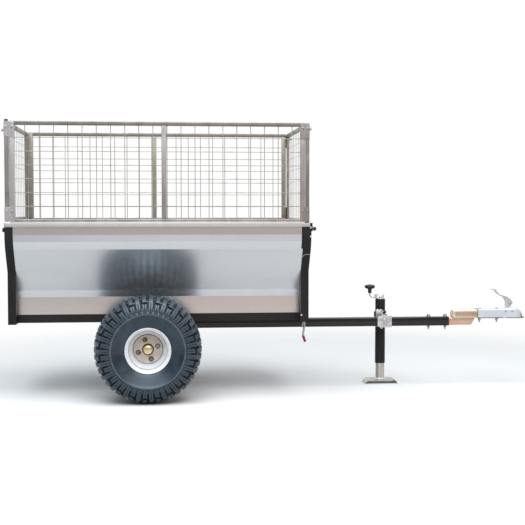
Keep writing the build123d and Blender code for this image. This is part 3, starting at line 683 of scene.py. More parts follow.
FRAME_BLACK = PowderCoat("black powder coat", "black_paint")
BAR_BLACK = PowderCoat("black drawbar coat", "black_paint", gloss=0.25, shine=0.0, coat=0.85)
SHEET_ZINC = BrightSheet("bright galvanised sheet", "galvanised_sheet")
CAGE_ZINC = DippedTube("galvanised cage tube", "galvanised_steel", (0.34, 0.315, 0.29), (0.215, 0.19, 0.17))
POST_ZINC = DippedTube("mottled galvanised post", "galvanised_steel", (0.58, 0.55, 0.53), (0.32, 0.29, 0.27))
OLIVE_POST = DippedTube("olive galvanised post", "galvanised_steel", (0.44, 0.40, 0.335), (0.27, 0.24, 0.195))
PALE_POST = DippedTube(
    "pale galvanised post", "galvanised_steel", (0.66, 0.655, 0.66), (0.40, 0.385, 0.385), 0.45, 0.32
)
GATE_ZINC = DippedTube(
    "dark galvanised gate tube", "galvanised_steel", (0.56, 0.53, 0.50), (0.25, 0.22, 0.20), 0.6
)
WIRE_ZINC = DippedTube(
    "galvanised wire", "galvanised_steel", (0.52, 0.48, 0.42), (0.27, 0.24, 0.20), 0.5, 0.45
)
PALE_WIRE = DippedTube(
    "pale galvanised wire", "galvanised_steel", (0.85, 0.85, 0.83), (0.60, 0.60, 0.57), 0.4, 0.4
)
BRACKET_ZINC = DippedTube(
    "galvanised bracket", "galvanised_steel", (0.92, 0.92, 0.93), (0.36, 0.36, 0.36), 0.46, 0.3,
    38, 0.55,
)
WARM_ZINC = DippedTube("weathered corner plate", "galvanised_steel", (0.52, 0.47, 0.43), (0.29, 0.255, 0.23))
CORNER_ZINC = DippedTube(
    "galvanised corner plate", "galvanised_steel", (0.66, 0.65, 0.65), (0.42, 0.40, 0.39), 0.45, 0.3,
    metal=0.7,
)
LIP_ZINC = DippedTube(
    "bright galvanised lip", "galvanised_steel", (0.76, 0.75, 0.74), (0.62, 0.60, 0.58), 0.4, 0.42
)
FOOT_ZINC = DippedTube("dull zinc foot", "zinc_steel", (0.66, 0.66, 0.60), (0.44, 0.44, 0.38), 0.5, 0.42)
LEG_STEEL = DippedTube(
    "drawn steel leg", "zinc_steel", (0.90, 0.85, 0.77), (0.34, 0.31, 0.28), 0.45, 0.26, (70, 70, 2.5)
)
BRIGHT_ZINC = ZincPlate("bright zinc plate", "zinc_steel")
COUPLING_ZINC = ZincPlate("coupling zinc", "zinc_steel", (0.84, 0.88, 0.95), (0.72, 0.76, 0.83), 0.3, 0.35)
DULL_ZINC = ZincPlate("dull zinc", "zinc_steel", (0.52, 0.54, 0.52), (0.34, 0.36, 0.34), 0.34, 0.7)
# Dark zinc on the flange, also painted shade: a dark reflection on the coupling nose and a shadow band at the
# hood's rear edge.
DARK_ZINC_AND_SHADE = ZincPlate("dark zinc and painted shade", "zinc_steel", (0.30, 0.31, 0.31), (0.17, 0.175, 0.17), 0.36, 0.6)
LEVER_ZINC = ZincPlate("lever zinc", "zinc_steel", (0.74, 0.76, 0.74), (0.46, 0.48, 0.46), 0.34, 0.6)
PINK_GOLD = GoldZinc("pink passivated zinc", "gold_zinc")
STRAW_GOLD = GoldZinc(
    "straw passivated zinc", "gold_zinc", (0.96, 0.90, 0.68), (0.94, 0.78, 0.58), drift=0.15
)
# Rose passivated zinc, deepened by a painted warm reflection.
ROSE_ZINC_AND_REFLECTION = GoldZinc(
    "rose passivated zinc", "gold_zinc", (0.74, 0.52, 0.44), (0.66, 0.42, 0.38), (0.70, 0.52, 0.36)
)
WHEEL_SILVER = SilverPaint("silver wheel paint", "silver_paint")
HUB_METAL = HubMetal("passivated hub plate", "zinc_steel")
NUT_ZINC = HubMetal("wheel nut zinc", "zinc_steel", (0.14, 0.11, 0.08), (0.40, 0.36, 0.29))
CAP_BRASS = PaleBrass("brass grease cap", "zinc_steel")
# Painted shadow: near-black rings laid in gaps and under the nuts, where there is only shade.
SHADOW = Moulded("painted shadow black", "zinc_steel", (0.012, 0.009, 0.007), (0.025, 0.018, 0.014), 0.7, 0.0)
RUBBER = TyreRubber("tyre rubber", "tyre_rubber")
# Painted shade: near-black rubber for the groove floors between the blocks.
GROOVE_SHADE = Moulded("painted groove shade", "tyre_rubber", (0.003, 0.003, 0.004), (0.008, 0.009, 0.011), 0.6, 0.1)
# Painted highlight: light blue-grey rings on the sidewall ridges.
RIDGE_HIGHLIGHT = Moulded("painted sidewall ridge highlight", "tyre_rubber", (0.24, 0.28, 0.33), (0.15, 0.18, 0.22), 0.4, 0.0)
PLASTIC = Moulded("black moulded plastic", "black_plastic")
RED_DIP = Moulded("red dipped grip", "red_grip", (0.42, 0.02, 0.03), (0.52, 0.10, 0.10), 0.35)
DARK_RED = Moulded("dark red knob", "red_grip", (0.06, 0.022, 0.022), (0.10, 0.04, 0.04), 0.4)
BUFFER = Moulded("buffer rubber", "rubber_pad", (0.018, 0.018, 0.018), (0.05, 0.05, 0.05), 0.6, 0.2)
FLOOR = StudioFloor("studio floor", "")


# ---------------------------------------------------------------- shapes


class Shape:
    """Gathers closed solids, in millimetres, into the mesh of one piece.

    A bolt's proportions are shares of its head's height, of its width across the flats or, for the top of
    its chamfer, of its radius.
    """

    WASHER_HEIGHT = 0.22
    WASHER_RADIUS = 0.72
    CHAMFER_HEIGHT = 0.82
    CHAMFER_RADIUS = 0.86
    THREAD_RADIUS = 0.3
    THREAD_TIP = 0.24
    THREAD_TAPER = 0.6  # millimetres
    BOLT_BEVEL = 0.3  # millimetres
    WASHER_SIDES = 24
    THREAD_SIDES = 16
    MERGE = 1e-4  # millimetres; nearer points become one
    MERGE_TURNED = 1e-5

    def __init__(self, bevel: float = 0.8, segments: int = 2) -> None:
        """Starts empty.

        Args:
            bevel: Width that sharp edges are rounded by when a part doesn't say.
            segments: Steps across a rounded edge.
        """
        self.mesh = bmesh.new()
        self.bevel = bevel
        self.segments = segments

    def take(self, part: bmesh.types.BMesh, bevel: float | None = None) -> "Shape":
        """Rounds a solid's sharp edges and adds it.

        Args:
            part: The solid, emptied by this call.
            bevel: Width of its rounded edges.

        Returns:
            The shape itself.
        """
        width = self.bevel if bevel is None else bevel
        bmesh.ops.remove_doubles(part, verts=part.verts, dist=self.MERGE)
        bmesh.ops.recalc_face_normals(part, faces=part.faces)
        if width > 0:
            sharp = [e for e in part.edges if len(e.link_faces) == 2 and e.calc_face_angle(0) > SHARP_ANGLE]
            bmesh.ops.bevel(
                part, geom=sharp, offset=width, offset_type="OFFSET", segments=self.segments, profile=0.5,
                affect="EDGES", clamp_overlap=True,
            )
        kept = bpy.data.meshes.new("part")
        part.to_mesh(kept)
        part.free()
        self.mesh.from_mesh(kept)
        bpy.data.meshes.remove(kept)
        return self

    def weave(self, part: bmesh.types.BMesh, rows: Sequence[Sequence], looped: bool, closed: bool) -> None:
        """Fills in four-sided faces between neighbouring rows.

        Args:
            part: The mesh.
            rows: Rows with the same number of its vertices.
            looped: Whether the last row joins the first.
            closed: Whether the end of each row joins its start.
        """
        count = len(rows[0])
        for i in range(len(rows) if looped else len(rows) - 1):
            here, there = rows[i], rows[(i + 1) % len(rows)]
            for j in range(count if closed else count - 1):
                k = (j + 1) % count
                part.faces.new((here[j], here[k], there[k], there[j]))

    def skin(
        self, rings: Sequence[Sequence[Point]], looped: bool = False, bevel: float | None = None
    ) -> "Shape":
        """Joins closed rings of points into one solid.

        Args:
            rings: Rings with the same number of points.
            looped: Whether the last ring joins the first; otherwise both are filled.
            bevel: Width of its rounded edges.

        Returns:
            The shape itself.
        """
        part = bmesh.new()
        rows = [[part.verts.new(p) for p in ring] for ring in rings]
        self.weave(part, rows, looped, closed=True)
        if not looped:
            part.faces.new(rows[0])
            part.faces.new(rows[-1])
        return self.take(part, bevel)

    def box(self, low: Point, high: Point) -> "Shape":
        """Adds a box between two corners."""
        ring = [(low[0], low[1]), (high[0], low[1]), (high[0], high[1]), (low[0], high[1])]
        return self.prism(ring, Lie.XY, low[2], high[2])

    def prism(self, outline: Line, lie: Lie, start: float, end: float) -> "Shape":
        """Adds an outline drawn out along the third axis.

        Args:
            outline: Points across and up.
            lie: The plane of the outline.
            start: Where it starts along the third axis.
            end: Where it ends.

        Returns:
            The shape itself.
        """
        rings = []
        for depth in (start, end):
            places = [dict(zip(lie.value, (a, b, depth))) for a, b in outline]
            rings.append([(place[0], place[1], place[2]) for place in places])
        return self.skin(rings)

    def turned(
        self,
        section: Line,
        centre: Point,
        along: Along,
        steps: int,
        sign: int = 1,
        bevel: float = 0.0,
        ring: bool = False,
    ) -> "Shape":
        """Adds a turned solid.

        Args:
            section: Points as (distance along the axis, radius).
            centre: Where distance 0 is.
            along: The axis.
            steps: Sides around.
            sign: -1 turns the distances round.
            bevel: Width of its rounded edges.
            ring: Whether the section closes on itself, clear of the axis.

        Returns:
            The shape itself.
        """
        points = list(section) if ring else [(section[0][0], 0.0), *section, (section[-1][0], 0.0)]
        part = bmesh.new()
        rows = []
        for i in range(steps):
            angle = 2 * math.pi * i / steps
            rows.append([part.verts.new(along.around(centre, sign * u, r, angle)) for u, r in points])
        self.weave(part, rows, looped=True, closed=ring)
        bmesh.ops.remove_doubles(part, verts=part.verts, dist=self.MERGE_TURNED)
        bmesh.ops.dissolve_degenerate(part, edges=part.edges, dist=self.MERGE_TURNED)
        return self.take(part, bevel)

    def bolt(
        self,
        foot: Point,
        along: Along,
        across: float,
        height: float,
        sign: int = 1,
        stud: float = 0.0,
        turn: float = 0.0,
    ) -> "Shape":
        """Adds a washer and a hexagonal head or nut.

        Args:
            foot: Middle of the face it sits on.
            along: The bolt's axis.
            across: Width across the flats.
            height: Height of the head.
            sign: Which way it stands.
            stud: How far the thread stands out past it.
            turn: Turn of the flats in degrees.

        Returns:
            The shape itself.
        """
        radius = across / math.sqrt(3)
        washer = height * self.WASHER_HEIGHT
        edge = across * self.WASHER_RADIUS
        self.turned([(0, edge), (washer, edge)], foot, along, self.WASHER_SIDES, sign, self.BOLT_BEVEL)
        corners = [math.radians(60 * i + turn) for i in range(6)]
        rings = []
        chamfer = radius * self.CHAMFER_RADIUS
        for rise, reach in ((washer, radius), (height * self.CHAMFER_HEIGHT, radius), (height, chamfer)):
            rings.append([along.around(foot, sign * rise, reach, angle) for angle in corners])
        self.skin(rings, bevel=self.BOLT_BEVEL)
        if stud > 0:
            thread, tip = across * self.THREAD_RADIUS, across * self.THREAD_TIP
            end = height + stud
            section = [(height * 0.5, thread), (end - self.THREAD_TAPER, thread), (end, tip)]
            self.turned(section, foot, along, self.THREAD_SIDES, sign)
        return self

    def data(self, name: str) -> bpy.types.Mesh:
        """Closes the shape.

        Args:
            name: The mesh's name.

        Returns:
            The mesh, in metres.
        """
        bmesh.ops.scale(self.mesh, vec=(MM, MM, MM), verts=self.mesh.verts)
        mesh = bpy.data.meshes.new(name)
        self.mesh.to_mesh(mesh)
        self.mesh.free()
        return mesh


def piece(
    source: Shape | bpy.types.Mesh,
    name: str,
    finish: Finish,
    body: Body,
    stands_for: Iterable[str] = (),
    flat: float = math.inf,
) -> bpy.types.Object:
    """Makes a shape or mesh a piece of the trailer.

    Args:
        source: What it is made of.
        name: The piece's name.
        finish: Its finish.
        body: The body that it moves with.
        stands_for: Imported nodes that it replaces.
        flat: Faces larger than this, in square millimetres, aren't shaded into their neighbours.

    Returns:
        The piece.
    """
    mesh = source.data(name) if isinstance(source, Shape) else source
    mesh.materials.clear()
    mesh.materials.append(finish.material())
    mesh.shade_smooth()
    mesh.set_sharp_from_angle(angle=SMOOTH_ANGLE)
    for face in mesh.polygons:
        if face.area > flat * MM * MM:
            face.use_smooth = False
    made = bpy.data.objects.new(name, mesh)
    bpy.context.scene.collection.objects.link(made)
    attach(made, body.value)
    for node in stands_for:
        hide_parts(node)
    log.info("%s: %d faces on %s", name, len(mesh.polygons), body.value)
    return made


def dress(finish: Finish, *nodes: str) -> None:
    """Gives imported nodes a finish.

    Args:
        finish: The finish.
        nodes: Names of the nodes.
    """
    for name in nodes:
        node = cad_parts[name]
        for held in node.material_slots:
            held.material = finish.material()
        log.info("%s: %s", name, finish.name)


# ---------------------------------------------------------------- repeats and paths


class Pattern(Nodes):
    """A geometry-nodes tree with named inputs that repeats a mesh or follows a line."""

    KINDS = {int: "NodeSocketInt", float: "NodeSocketFloat", tuple: "NodeSocketVector"}

    def __init__(self, name: str, inputs: dict[str, type]) -> None:
        """Starts the tree.

        Args:
            name: The tree's name.
            inputs: Its inputs' names and kinds.
        """
        super().__init__(bpy.data.node_groups.new(name, "GeometryNodeTree"))
        face = self.tree.interface
        face.new_socket("Geometry", in_out="INPUT", socket_type="NodeSocketGeometry")
        for key, kind in inputs.items():
            face.new_socket(key, in_out="INPUT", socket_type=self.KINDS[kind])
        face.new_socket("Finish", in_out="INPUT", socket_type="NodeSocketMaterial")
        face.new_socket("Geometry", in_out="OUTPUT", socket_type="NodeSocketGeometry")
        self.entry = self.tree.nodes.new("NodeGroupInput")

    def source(self, value: Any) -> Any:
        """The tree's own input for a name written as "in:Name", or any other value as it is."""
        if isinstance(value, str) and value.startswith("in:"):
            return self.entry.outputs[value[3:]]
        return value

    def close(self, geometry: bpy.types.NodeSocket) -> "Pattern":
        """Realises the instances, sets the finish and ends the tree.

        Args:
            geometry: What the tree has made.

        Returns:
            The pattern itself.
        """
        real = self.node("GeometryNodeRealizeInstances", {}, {"Geometry": geometry})
        inputs = {"Geometry": real.outputs[0], "Material": "in:Finish"}
        dressed = self.node("GeometryNodeSetMaterial", {}, inputs)
        self.node("NodeGroupOutput", {}, {0: dressed.outputs[0]})
        return self

    def grow(self, name: str, source: bpy.types.Mesh, finish: Finish, **sizes: Any) -> bpy.types.Mesh:
        """Runs the tree once and keeps the plain mesh.

        Args:
            name: The new mesh's name.
            source: The mesh that it starts from.
            finish: The finish it sets.
            sizes: The tree's inputs, by name.

        Returns:
            The mesh.
        """
        holder = bpy.data.objects.new(name + "_source", source)
        bpy.context.scene.collection.objects.link(holder)
        modifier = holder.modifiers.new("pattern", "NODES")
        modifier.node_group = self.tree
        items = self.tree.interface.items_tree
        keys = {item.name: item.identifier for item in items if item.in_out == "INPUT"}
        for key, value in {**sizes, "Finish": finish.material()}.items():
            modifier[keys[key]] = value
        graph = bpy.context.evaluated_depsgraph_get()
        mesh = bpy.data.meshes.new_from_object(holder.evaluated_get(graph))
        holder.modifiers.clear()
        bpy.data.objects.remove(holder)
        mesh.name = name
        return mesh


def row_pattern() -> Pattern:
    """A straight row of copies: count and step."""
    made = Pattern("Row", {"Count": int, "Step": tuple})
    line = made.node("GeometryNodeMeshLine", {"mode": "OFFSET"}, {"Count": "in:Count", "Offset": "in:Step"})
    inputs = {"Points": line.outputs[0], "Instance": "in:Geometry"}
    return made.close(made.node("GeometryNodeInstanceOnPoints", {}, inputs).outputs[0])


def ring_pattern() -> Pattern:
    """A ring of copies around an axis along Y: count, centre and phase in radians."""
    made = Pattern("Ring", {"Count": int, "Centre": tuple, "Phase": float})
    inputs = {"Count": "in:Count", "Start Location": "in:Centre", "Offset": (0, 0, 0)}
    line = made.node("GeometryNodeMeshLine", {"mode": "OFFSET"}, inputs)
    index = made.node("GeometryNodeInputIndex")
    step = made.node("ShaderNodeMath", {"operation": "DIVIDE"}, {0: 2 * math.pi, 1: "in:Count"})
    inputs = {0: index.outputs[0], 1: step.outputs[0], 2: "in:Phase"}
    angle = made.node("ShaderNodeMath", {"operation": "MULTIPLY_ADD"}, inputs)
    turn = made.node("FunctionNodeAxisAngleToRotation", {}, {"Axis": (0, 1, 0), "Angle": angle.outputs[0]})
    inputs = {"Points": line.outputs[0], "Instance": "in:Geometry", "Rotation": turn.outputs[0]}
    return made.close(made.node("GeometryNodeInstanceOnPoints", {}, inputs).outputs[0])


def rod_pattern() -> Pattern:
    """A round rod along a line of points: radius, bend radius and sides."""
    made = Pattern("Rod", {"Radius": float, "Bend": float, "Sides": int})
    curve = made.node("GeometryNodeMeshToCurve", {}, {"Mesh": "in:Geometry"})
    inputs = {"Curve": curve.outputs[0], "Radius": "in:Bend", "Limit Radius": True, "Count": 6}
    bent = made.node("GeometryNodeFilletCurve", {"mode": "POLY"}, inputs)
    inputs = {"Resolution": "in:Sides", "Radius": "in:Radius"}
    circle = made.node("GeometryNodeCurvePrimitiveCircle", {}, inputs)
    inputs = {"Curve": bent.outputs[0], "Profile Curve": circle.outputs[0], "Fill Caps": True}
    return made.close(made.node("GeometryNodeCurveToMesh", {}, inputs).outputs[0])


@dataclass
class Workshop:
    """The patterns that the sub-assemblies share."""

    row: Pattern
    ring: Pattern
    rod: Pattern

    def bent_rod(
        self, name: str, finish: Finish, path: Sequence[Point], radius: float, bend: float, sides: int
    ) -> bpy.types.Mesh:
        """Bends a round rod along a line of points.

        Args:
            name: The mesh's name.
            finish: Its finish.
            path: The line of points, in millimetres.
            radius: The rod's radius.
            bend: Radius of its bends.
            sides: Sides around.

        Returns:
            The mesh.
        """
        source = bpy.data.meshes.new(name + "_line")
        edges = [(i, i + 1) for i in range(len(path) - 1)]
        source.from_pydata([metres(p) for p in path], edges, [])
        return self.rod.grow(name, source, finish, Radius=radius * MM, Bend=bend * MM, Sides=sides)


def joined(*sources: Shape | bpy.types.Mesh) -> bpy.types.Mesh:
    """Puts several shapes or meshes into one mesh.

    Args:
        sources: Shapes, or meshes in metres.

    Returns:
        One mesh.
    """
    whole = bmesh.new()
    for source in sources:
        whole.from_mesh(source.data("part") if isinstance(source, Shape) else source)
    for face in whole.faces:
        face.material_index = 0
    mesh = bpy.data.meshes.new("joined")
    whole.to_mesh(mesh)
    whole.free()
    return mesh


# ---------------------------------------------------------------- wheels


@dataclass(frozen=True)
class Pitch:
    """Where one pitch of the tread differs from the next; each point is a top and its foot."""

    rib_end: tuple[Pair, Pair]
    block_start: tuple[Pair, Pair]
    web: tuple[Station, Station]


@dataclass
class Wheel:
    """One wheel: knobbly tyre, stamped rim and hub.

    Sections are (distance outboard, radius) about the axle line. A tread block's stations are its top, its
    foot, how far its middle is turned and its half width, both in degrees.
    """

    side: Side
    body: Body
    shop: Workshop
    axle_x: float = -703.0
    axle_z: float = 278.0
    middle_y: float = 425.0
    pitches: int = 46
    steps: int = 138
    rib_turn: float = 1.42
    block_chamfer: float = 0.28
    block_shoulder: float = 0.22
    block_flare: float = 0.12
    nut_count: int = 4
    nut_circle: float = 52.0
    nut_turn: float = 17.7
    valve_turn: float = 243.0
    valve_circle: float = 92.0
    valve_foot: float = 66.0
    groove_shade_rise: float = 0.4
    groove_shade_depth: float = 1.0
    ridge_highlight_us: Pair = (136.6, 137.4)

    CASING = [
        (90, 101.5), (98.5, 108.3), (102.7, 112.6), (104.2, 119.4), (106, 121), (108.5, 126), (114.6, 140),
        (121.4, 156), (127.6, 171), (132, 181), (134.6, 186.2), (137.2, 187.5), (137.2, 188.8),
        (135.8, 189.8), (135.8, 191.2), (137.2, 192.2), (137.2, 193.5), (135.2, 194.8), (131, 199),
        (129, 207), (126, 219), (119, 232), (109, 244.5), (97, 254), (80, 260.5), (55, 264.5), (28, 266),
        (0, 266.5),
    ]
    CAVITY = [(80, 101.5), (94, 116), (116, 150), (124, 180), (122, 206), (116, 234), (96, 252)]
    UNDER_TREAD = 8  # points of the casing, from its end
    RINGS = [(187.2, 188.9), (191.9, 193.5)]
    RIB = [
        ((137.5, 197), (130.5, 199), 0, 1.15), ((137.5, 208), (128.5, 207), 0, 1.15),
        ((134, 221.5), (124.5, 218.5), 0, 1.15),
    ]
    SHOULDER = [
        ((105.5, 260), (96, 252.5), 0, 2.45), ((90, 269), (79, 259), 0, 2.35),
        ((84, 270.8), (74, 260.5), 0, 2.3),
    ]
    INNER = [
        ((79, 272), (80, 259), 0.3, 2.3), ((62, 275.5), (62, 262), 0.3, 2.3),
        ((40, 277.2), (40, 264), 0.3, 2.3),
    ]
    MIDDLE = [
        ((34, 277.5), (35, 264), -0.3, 2.4), ((0, 278), (0, 264.5), 0, 2.4),
        ((-34, 277.5), (-35, 264), 0.3, 2.4),
    ]
    PAIR = [
        Pitch(
            rib_end=((124, 240.5), (114, 237)),
            block_start=((115, 251.5), (105.5, 246)),
            web=(((99, 255.5), (91, 250), 0, 1.6), ((106, 250), (98, 246), 0, 1.6)),
        ),
        Pitch(
            rib_end=((119, 247.2), (109.5, 242.5)),
            block_start=((117.5, 248), (108, 243.5)),
            web=(((86, 266), (78, 257), 0, 1.6), ((94, 262), (86, 254), 0, 1.6)),
        ),
    ]
    RIM = [
        (104.5, 118.7), (108.5, 118.8), (109.8, 117.5), (110, 115), (109, 112.8), (106, 110.4),
        (101.5, 106.8), (96, 102.6), (91, 99.8), (85, 98.6), (82.8, 97), (80, 95.2), (70, 92), (50, 86),
        (36, 81), (29.5, 78.5), (27, 76.5), (27, 36), (23, 36), (23, 79), (60, 92.6), (74, 96.6), (50, 97),
        (30, 91), (-40, 91), (-60, 97), (-108, 97), (-110, 101), (-110, 117), (-108, 118.6), (-104, 118.6),
        (-104, 101), (92, 101), (99.5, 107), (103.5, 112),
    ]
    VALVE = [(0, 7), (5, 7), (6, 4.2), (22, 3.6), (23, 4.4), (29, 4.4), (29.6, 3.6)]
    HUB_FACE = 33.0
    HUB = [
        (-60, 15.5), (-60, 36), (27, 36), (27, 75), (32, 75), (33, 73.5), (33, 31), (31.5, 29.5), (28, 29),
        (28, 23), (41, 23), (41, 15.5),
    ]
    CAP = [
        (28, 24), (47, 24), (48.5, 23.6), (48.5, 22.4), (54, 21.6), (57.5, 19.4), (59.6, 15), (60.7, 9),
        (61, 4),
    ]
    # Dark rings painted as shadow: one under each nut, and three (inner, outer, distance) in the gaps round
    # the grease cap, round the hub plate and at the rim's step.
    NUT_SHADOW_RING = [(0, 13.2), (0.9, 13.2), (1.2, 12.8)]
    SHADOW_RINGS = [(24.1, 28.9, 28.1), (75.1, 77.6, 27.1), (97.0, 98.8, 84.9)]  # inner, outer, distance

    @property
    def centre(self) -> Point:
        """Middle of the wheel."""
        return (self.axle_x, self.side.value * self.middle_y, self.axle_z)

    def turned(self, shape: Shape, section: Line, steps: int, ring: bool = True) -> Shape:
        """Turns a section about the axle line."""
        return shape.turned(section, self.centre, Along.Y, steps, self.side.value, ring=ring)

    def lug(self, shape: Shape, stations: Sequence[Station], edge: int, middle: float) -> None:
        """Adds one tread block.

        Args:
            shape: The shape it goes into, about the wheel's centre.
            stations: The block's stations.
            edge: 1 on the outboard half of the tread, -1 for its mirror image.
            middle: The block's place around the tyre, in degrees.
        """
        rings = []
        for top, foot, shift, half in stations[::edge]:
            shoulder = tuple(t + (f - t) * self.block_shoulder for t, f in zip(top, foot))
            flared, narrow = half + self.block_flare, half - self.block_chamfer
            ring = []
            trailing = [(foot, -flared), (shoulder, -half), (top, -narrow)]
            leading = [(top, narrow), (shoulder, half), (foot, flared)]
            for (u, r), spread in trailing + leading:
                angle = math.radians(middle + edge * shift + spread)
                ring.append((r * math.sin(angle), self.side.value * edge * u, r * math.cos(angle)))
            rings.append(ring)
        shape.skin(rings, bevel=0.0)

    def tread(self) -> bpy.types.Mesh:
        """The ribs and blocks, as a ring of pairs of pitches."""
        pitch = 360 / self.pitches
        unit = Shape()
        for number, kind in enumerate(self.PAIR):
            middle = (number - 0.5) * pitch
            for edge in (1, -1):
                self.lug(unit, kind.web, edge, middle + pitch / 2)
                for turn in (-self.rib_turn, self.rib_turn):
                    self.lug(unit, [*self.RIB, (*kind.rib_end, 0, 1.2)], edge, middle + turn)
                self.lug(unit, [(*kind.block_start, 0, 2.5), *self.SHOULDER], edge, middle)
                self.lug(unit, self.INNER, edge, middle)
            self.lug(unit, self.MIDDLE, 1, middle)
        sizes = {"Count": self.pitches // 2, "Centre": metres(self.centre), "Phase": 0.0}
        return self.shop.ring.grow("tread", unit.data("lugs"), RUBBER, **sizes)

    def tyre(self) -> None:
        """Casing with its sidewall ridges, the tread, a darker shell painted as shade on the groove floors,
        and lighter rings painted as highlights on the ridges.
        """
        outer = self.CASING + [(-u, r) for u, r in reversed(self.CASING[:-1])]
        inner = [(-u, r) for u, r in self.CAVITY] + [(u, r) for u, r in reversed(self.CAVITY)]
        casing = self.turned(Shape(), outer + inner, self.steps)
        word = self.side.word
        piece(joined(casing, self.tread()), f"knobbly_tyre_{word}", RUBBER, self.body, [f"tyre_{word}"])
        # A near-black shell just over the tread's casing, painted shade: it shows only on the groove floors
        # between the blocks.
        under = self.CASING[-self.UNDER_TREAD :]
        rise, depth = self.groove_shade_rise, self.groove_shade_depth
        half = [(u + rise, r + rise) for u, r in under]
        skin = half + [(-u, r) for u, r in reversed(half[:-1])]
        base = skin + [(-u, r - depth) for u, r in under[:-1]] + [(u, r - depth) for u, r in reversed(under)]
        piece(self.turned(Shape(), base, self.steps), f"tread_groove_shade_{word}", GROOVE_SHADE, self.body)
        # Lighter rings on the two sidewall ridges, painted highlights.
        rings = Shape()
        inner_u, outer_u = self.ridge_highlight_us
        for low, high in self.RINGS:
            self.turned(rings, [(inner_u, low), (outer_u, low), (outer_u, high), (inner_u, high)], 96)
        piece(rings, f"sidewall_ridge_highlights_{word}", RIDGE_HIGHLIGHT, self.body)

    def rim(self) -> None:
        """Stamped rim with its valve."""
        shape = self.turned(Shape(), self.RIM, 96)
        angle = math.radians(self.valve_turn)
        x = self.axle_x + self.valve_circle * math.cos(angle)
        z = self.axle_z + self.valve_circle * math.sin(angle)
        foot = (x, self.side.value * (self.middle_y + self.valve_foot), z)
        shape.turned(self.VALVE, foot, Along.Y, 16, self.side.value)
        piece(shape, f"wheel_rim_{self.side.word}", WHEEL_SILVER, self.body, [f"rim_{self.side.word}"])

    def hub(self) -> None:
        """Hub plate, its four nuts on dark rings painted as shadow, the grease cap, and dark rings painted as
        shade in the gaps round the cap, round the plate and at the rim's step.
        """
        word = self.side.word
        plate = self.turned(Shape(), self.HUB, 64)
        piece(plate, f"hub_plate_{word}", HUB_METAL, self.body, [f"hub_{word}"])
        cap = self.turned(Shape(), self.CAP, 40, ring=False)
        piece(cap, f"grease_cap_{word}", CAP_BRASS, self.body)
        sign = self.side.value
        foot = (self.nut_circle, sign * self.HUB_FACE, 0)
        phase = -math.radians(self.nut_turn)
        sizes = {"Count": self.nut_count, "Centre": metres(self.centre), "Phase": phase}
        nut = Shape().bolt(foot, Along.Y, 15, 11, sign, 5)
        nuts = self.shop.ring.grow("nuts", nut.data("nut"), NUT_ZINC, **sizes)
        piece(nuts, f"wheel_nuts_{word}", NUT_ZINC, self.body)
        # Painted shadow: a dark ring under each nut.
        seat = Shape().turned(self.NUT_SHADOW_RING, foot, Along.Y, 24, sign)
        seats = self.shop.ring.grow("seats", seat.data("seat"), SHADOW, **sizes)
        rings = Shape()
        for inner, outer, start in self.SHADOW_RINGS:
            self.turned(rings, [(start, inner), (start + 1, inner), (start + 1, outer), (start, outer)], 64)
        piece(joined(seats, rings), f"wheel_painted_shadow_rings_{word}", SHADOW, self.body)

    def build(self) -> None:
        """Makes the whole wheel."""
        self.tyre()
        self.rim()
        self.hub()


# ---------------------------------------------------------------- cage


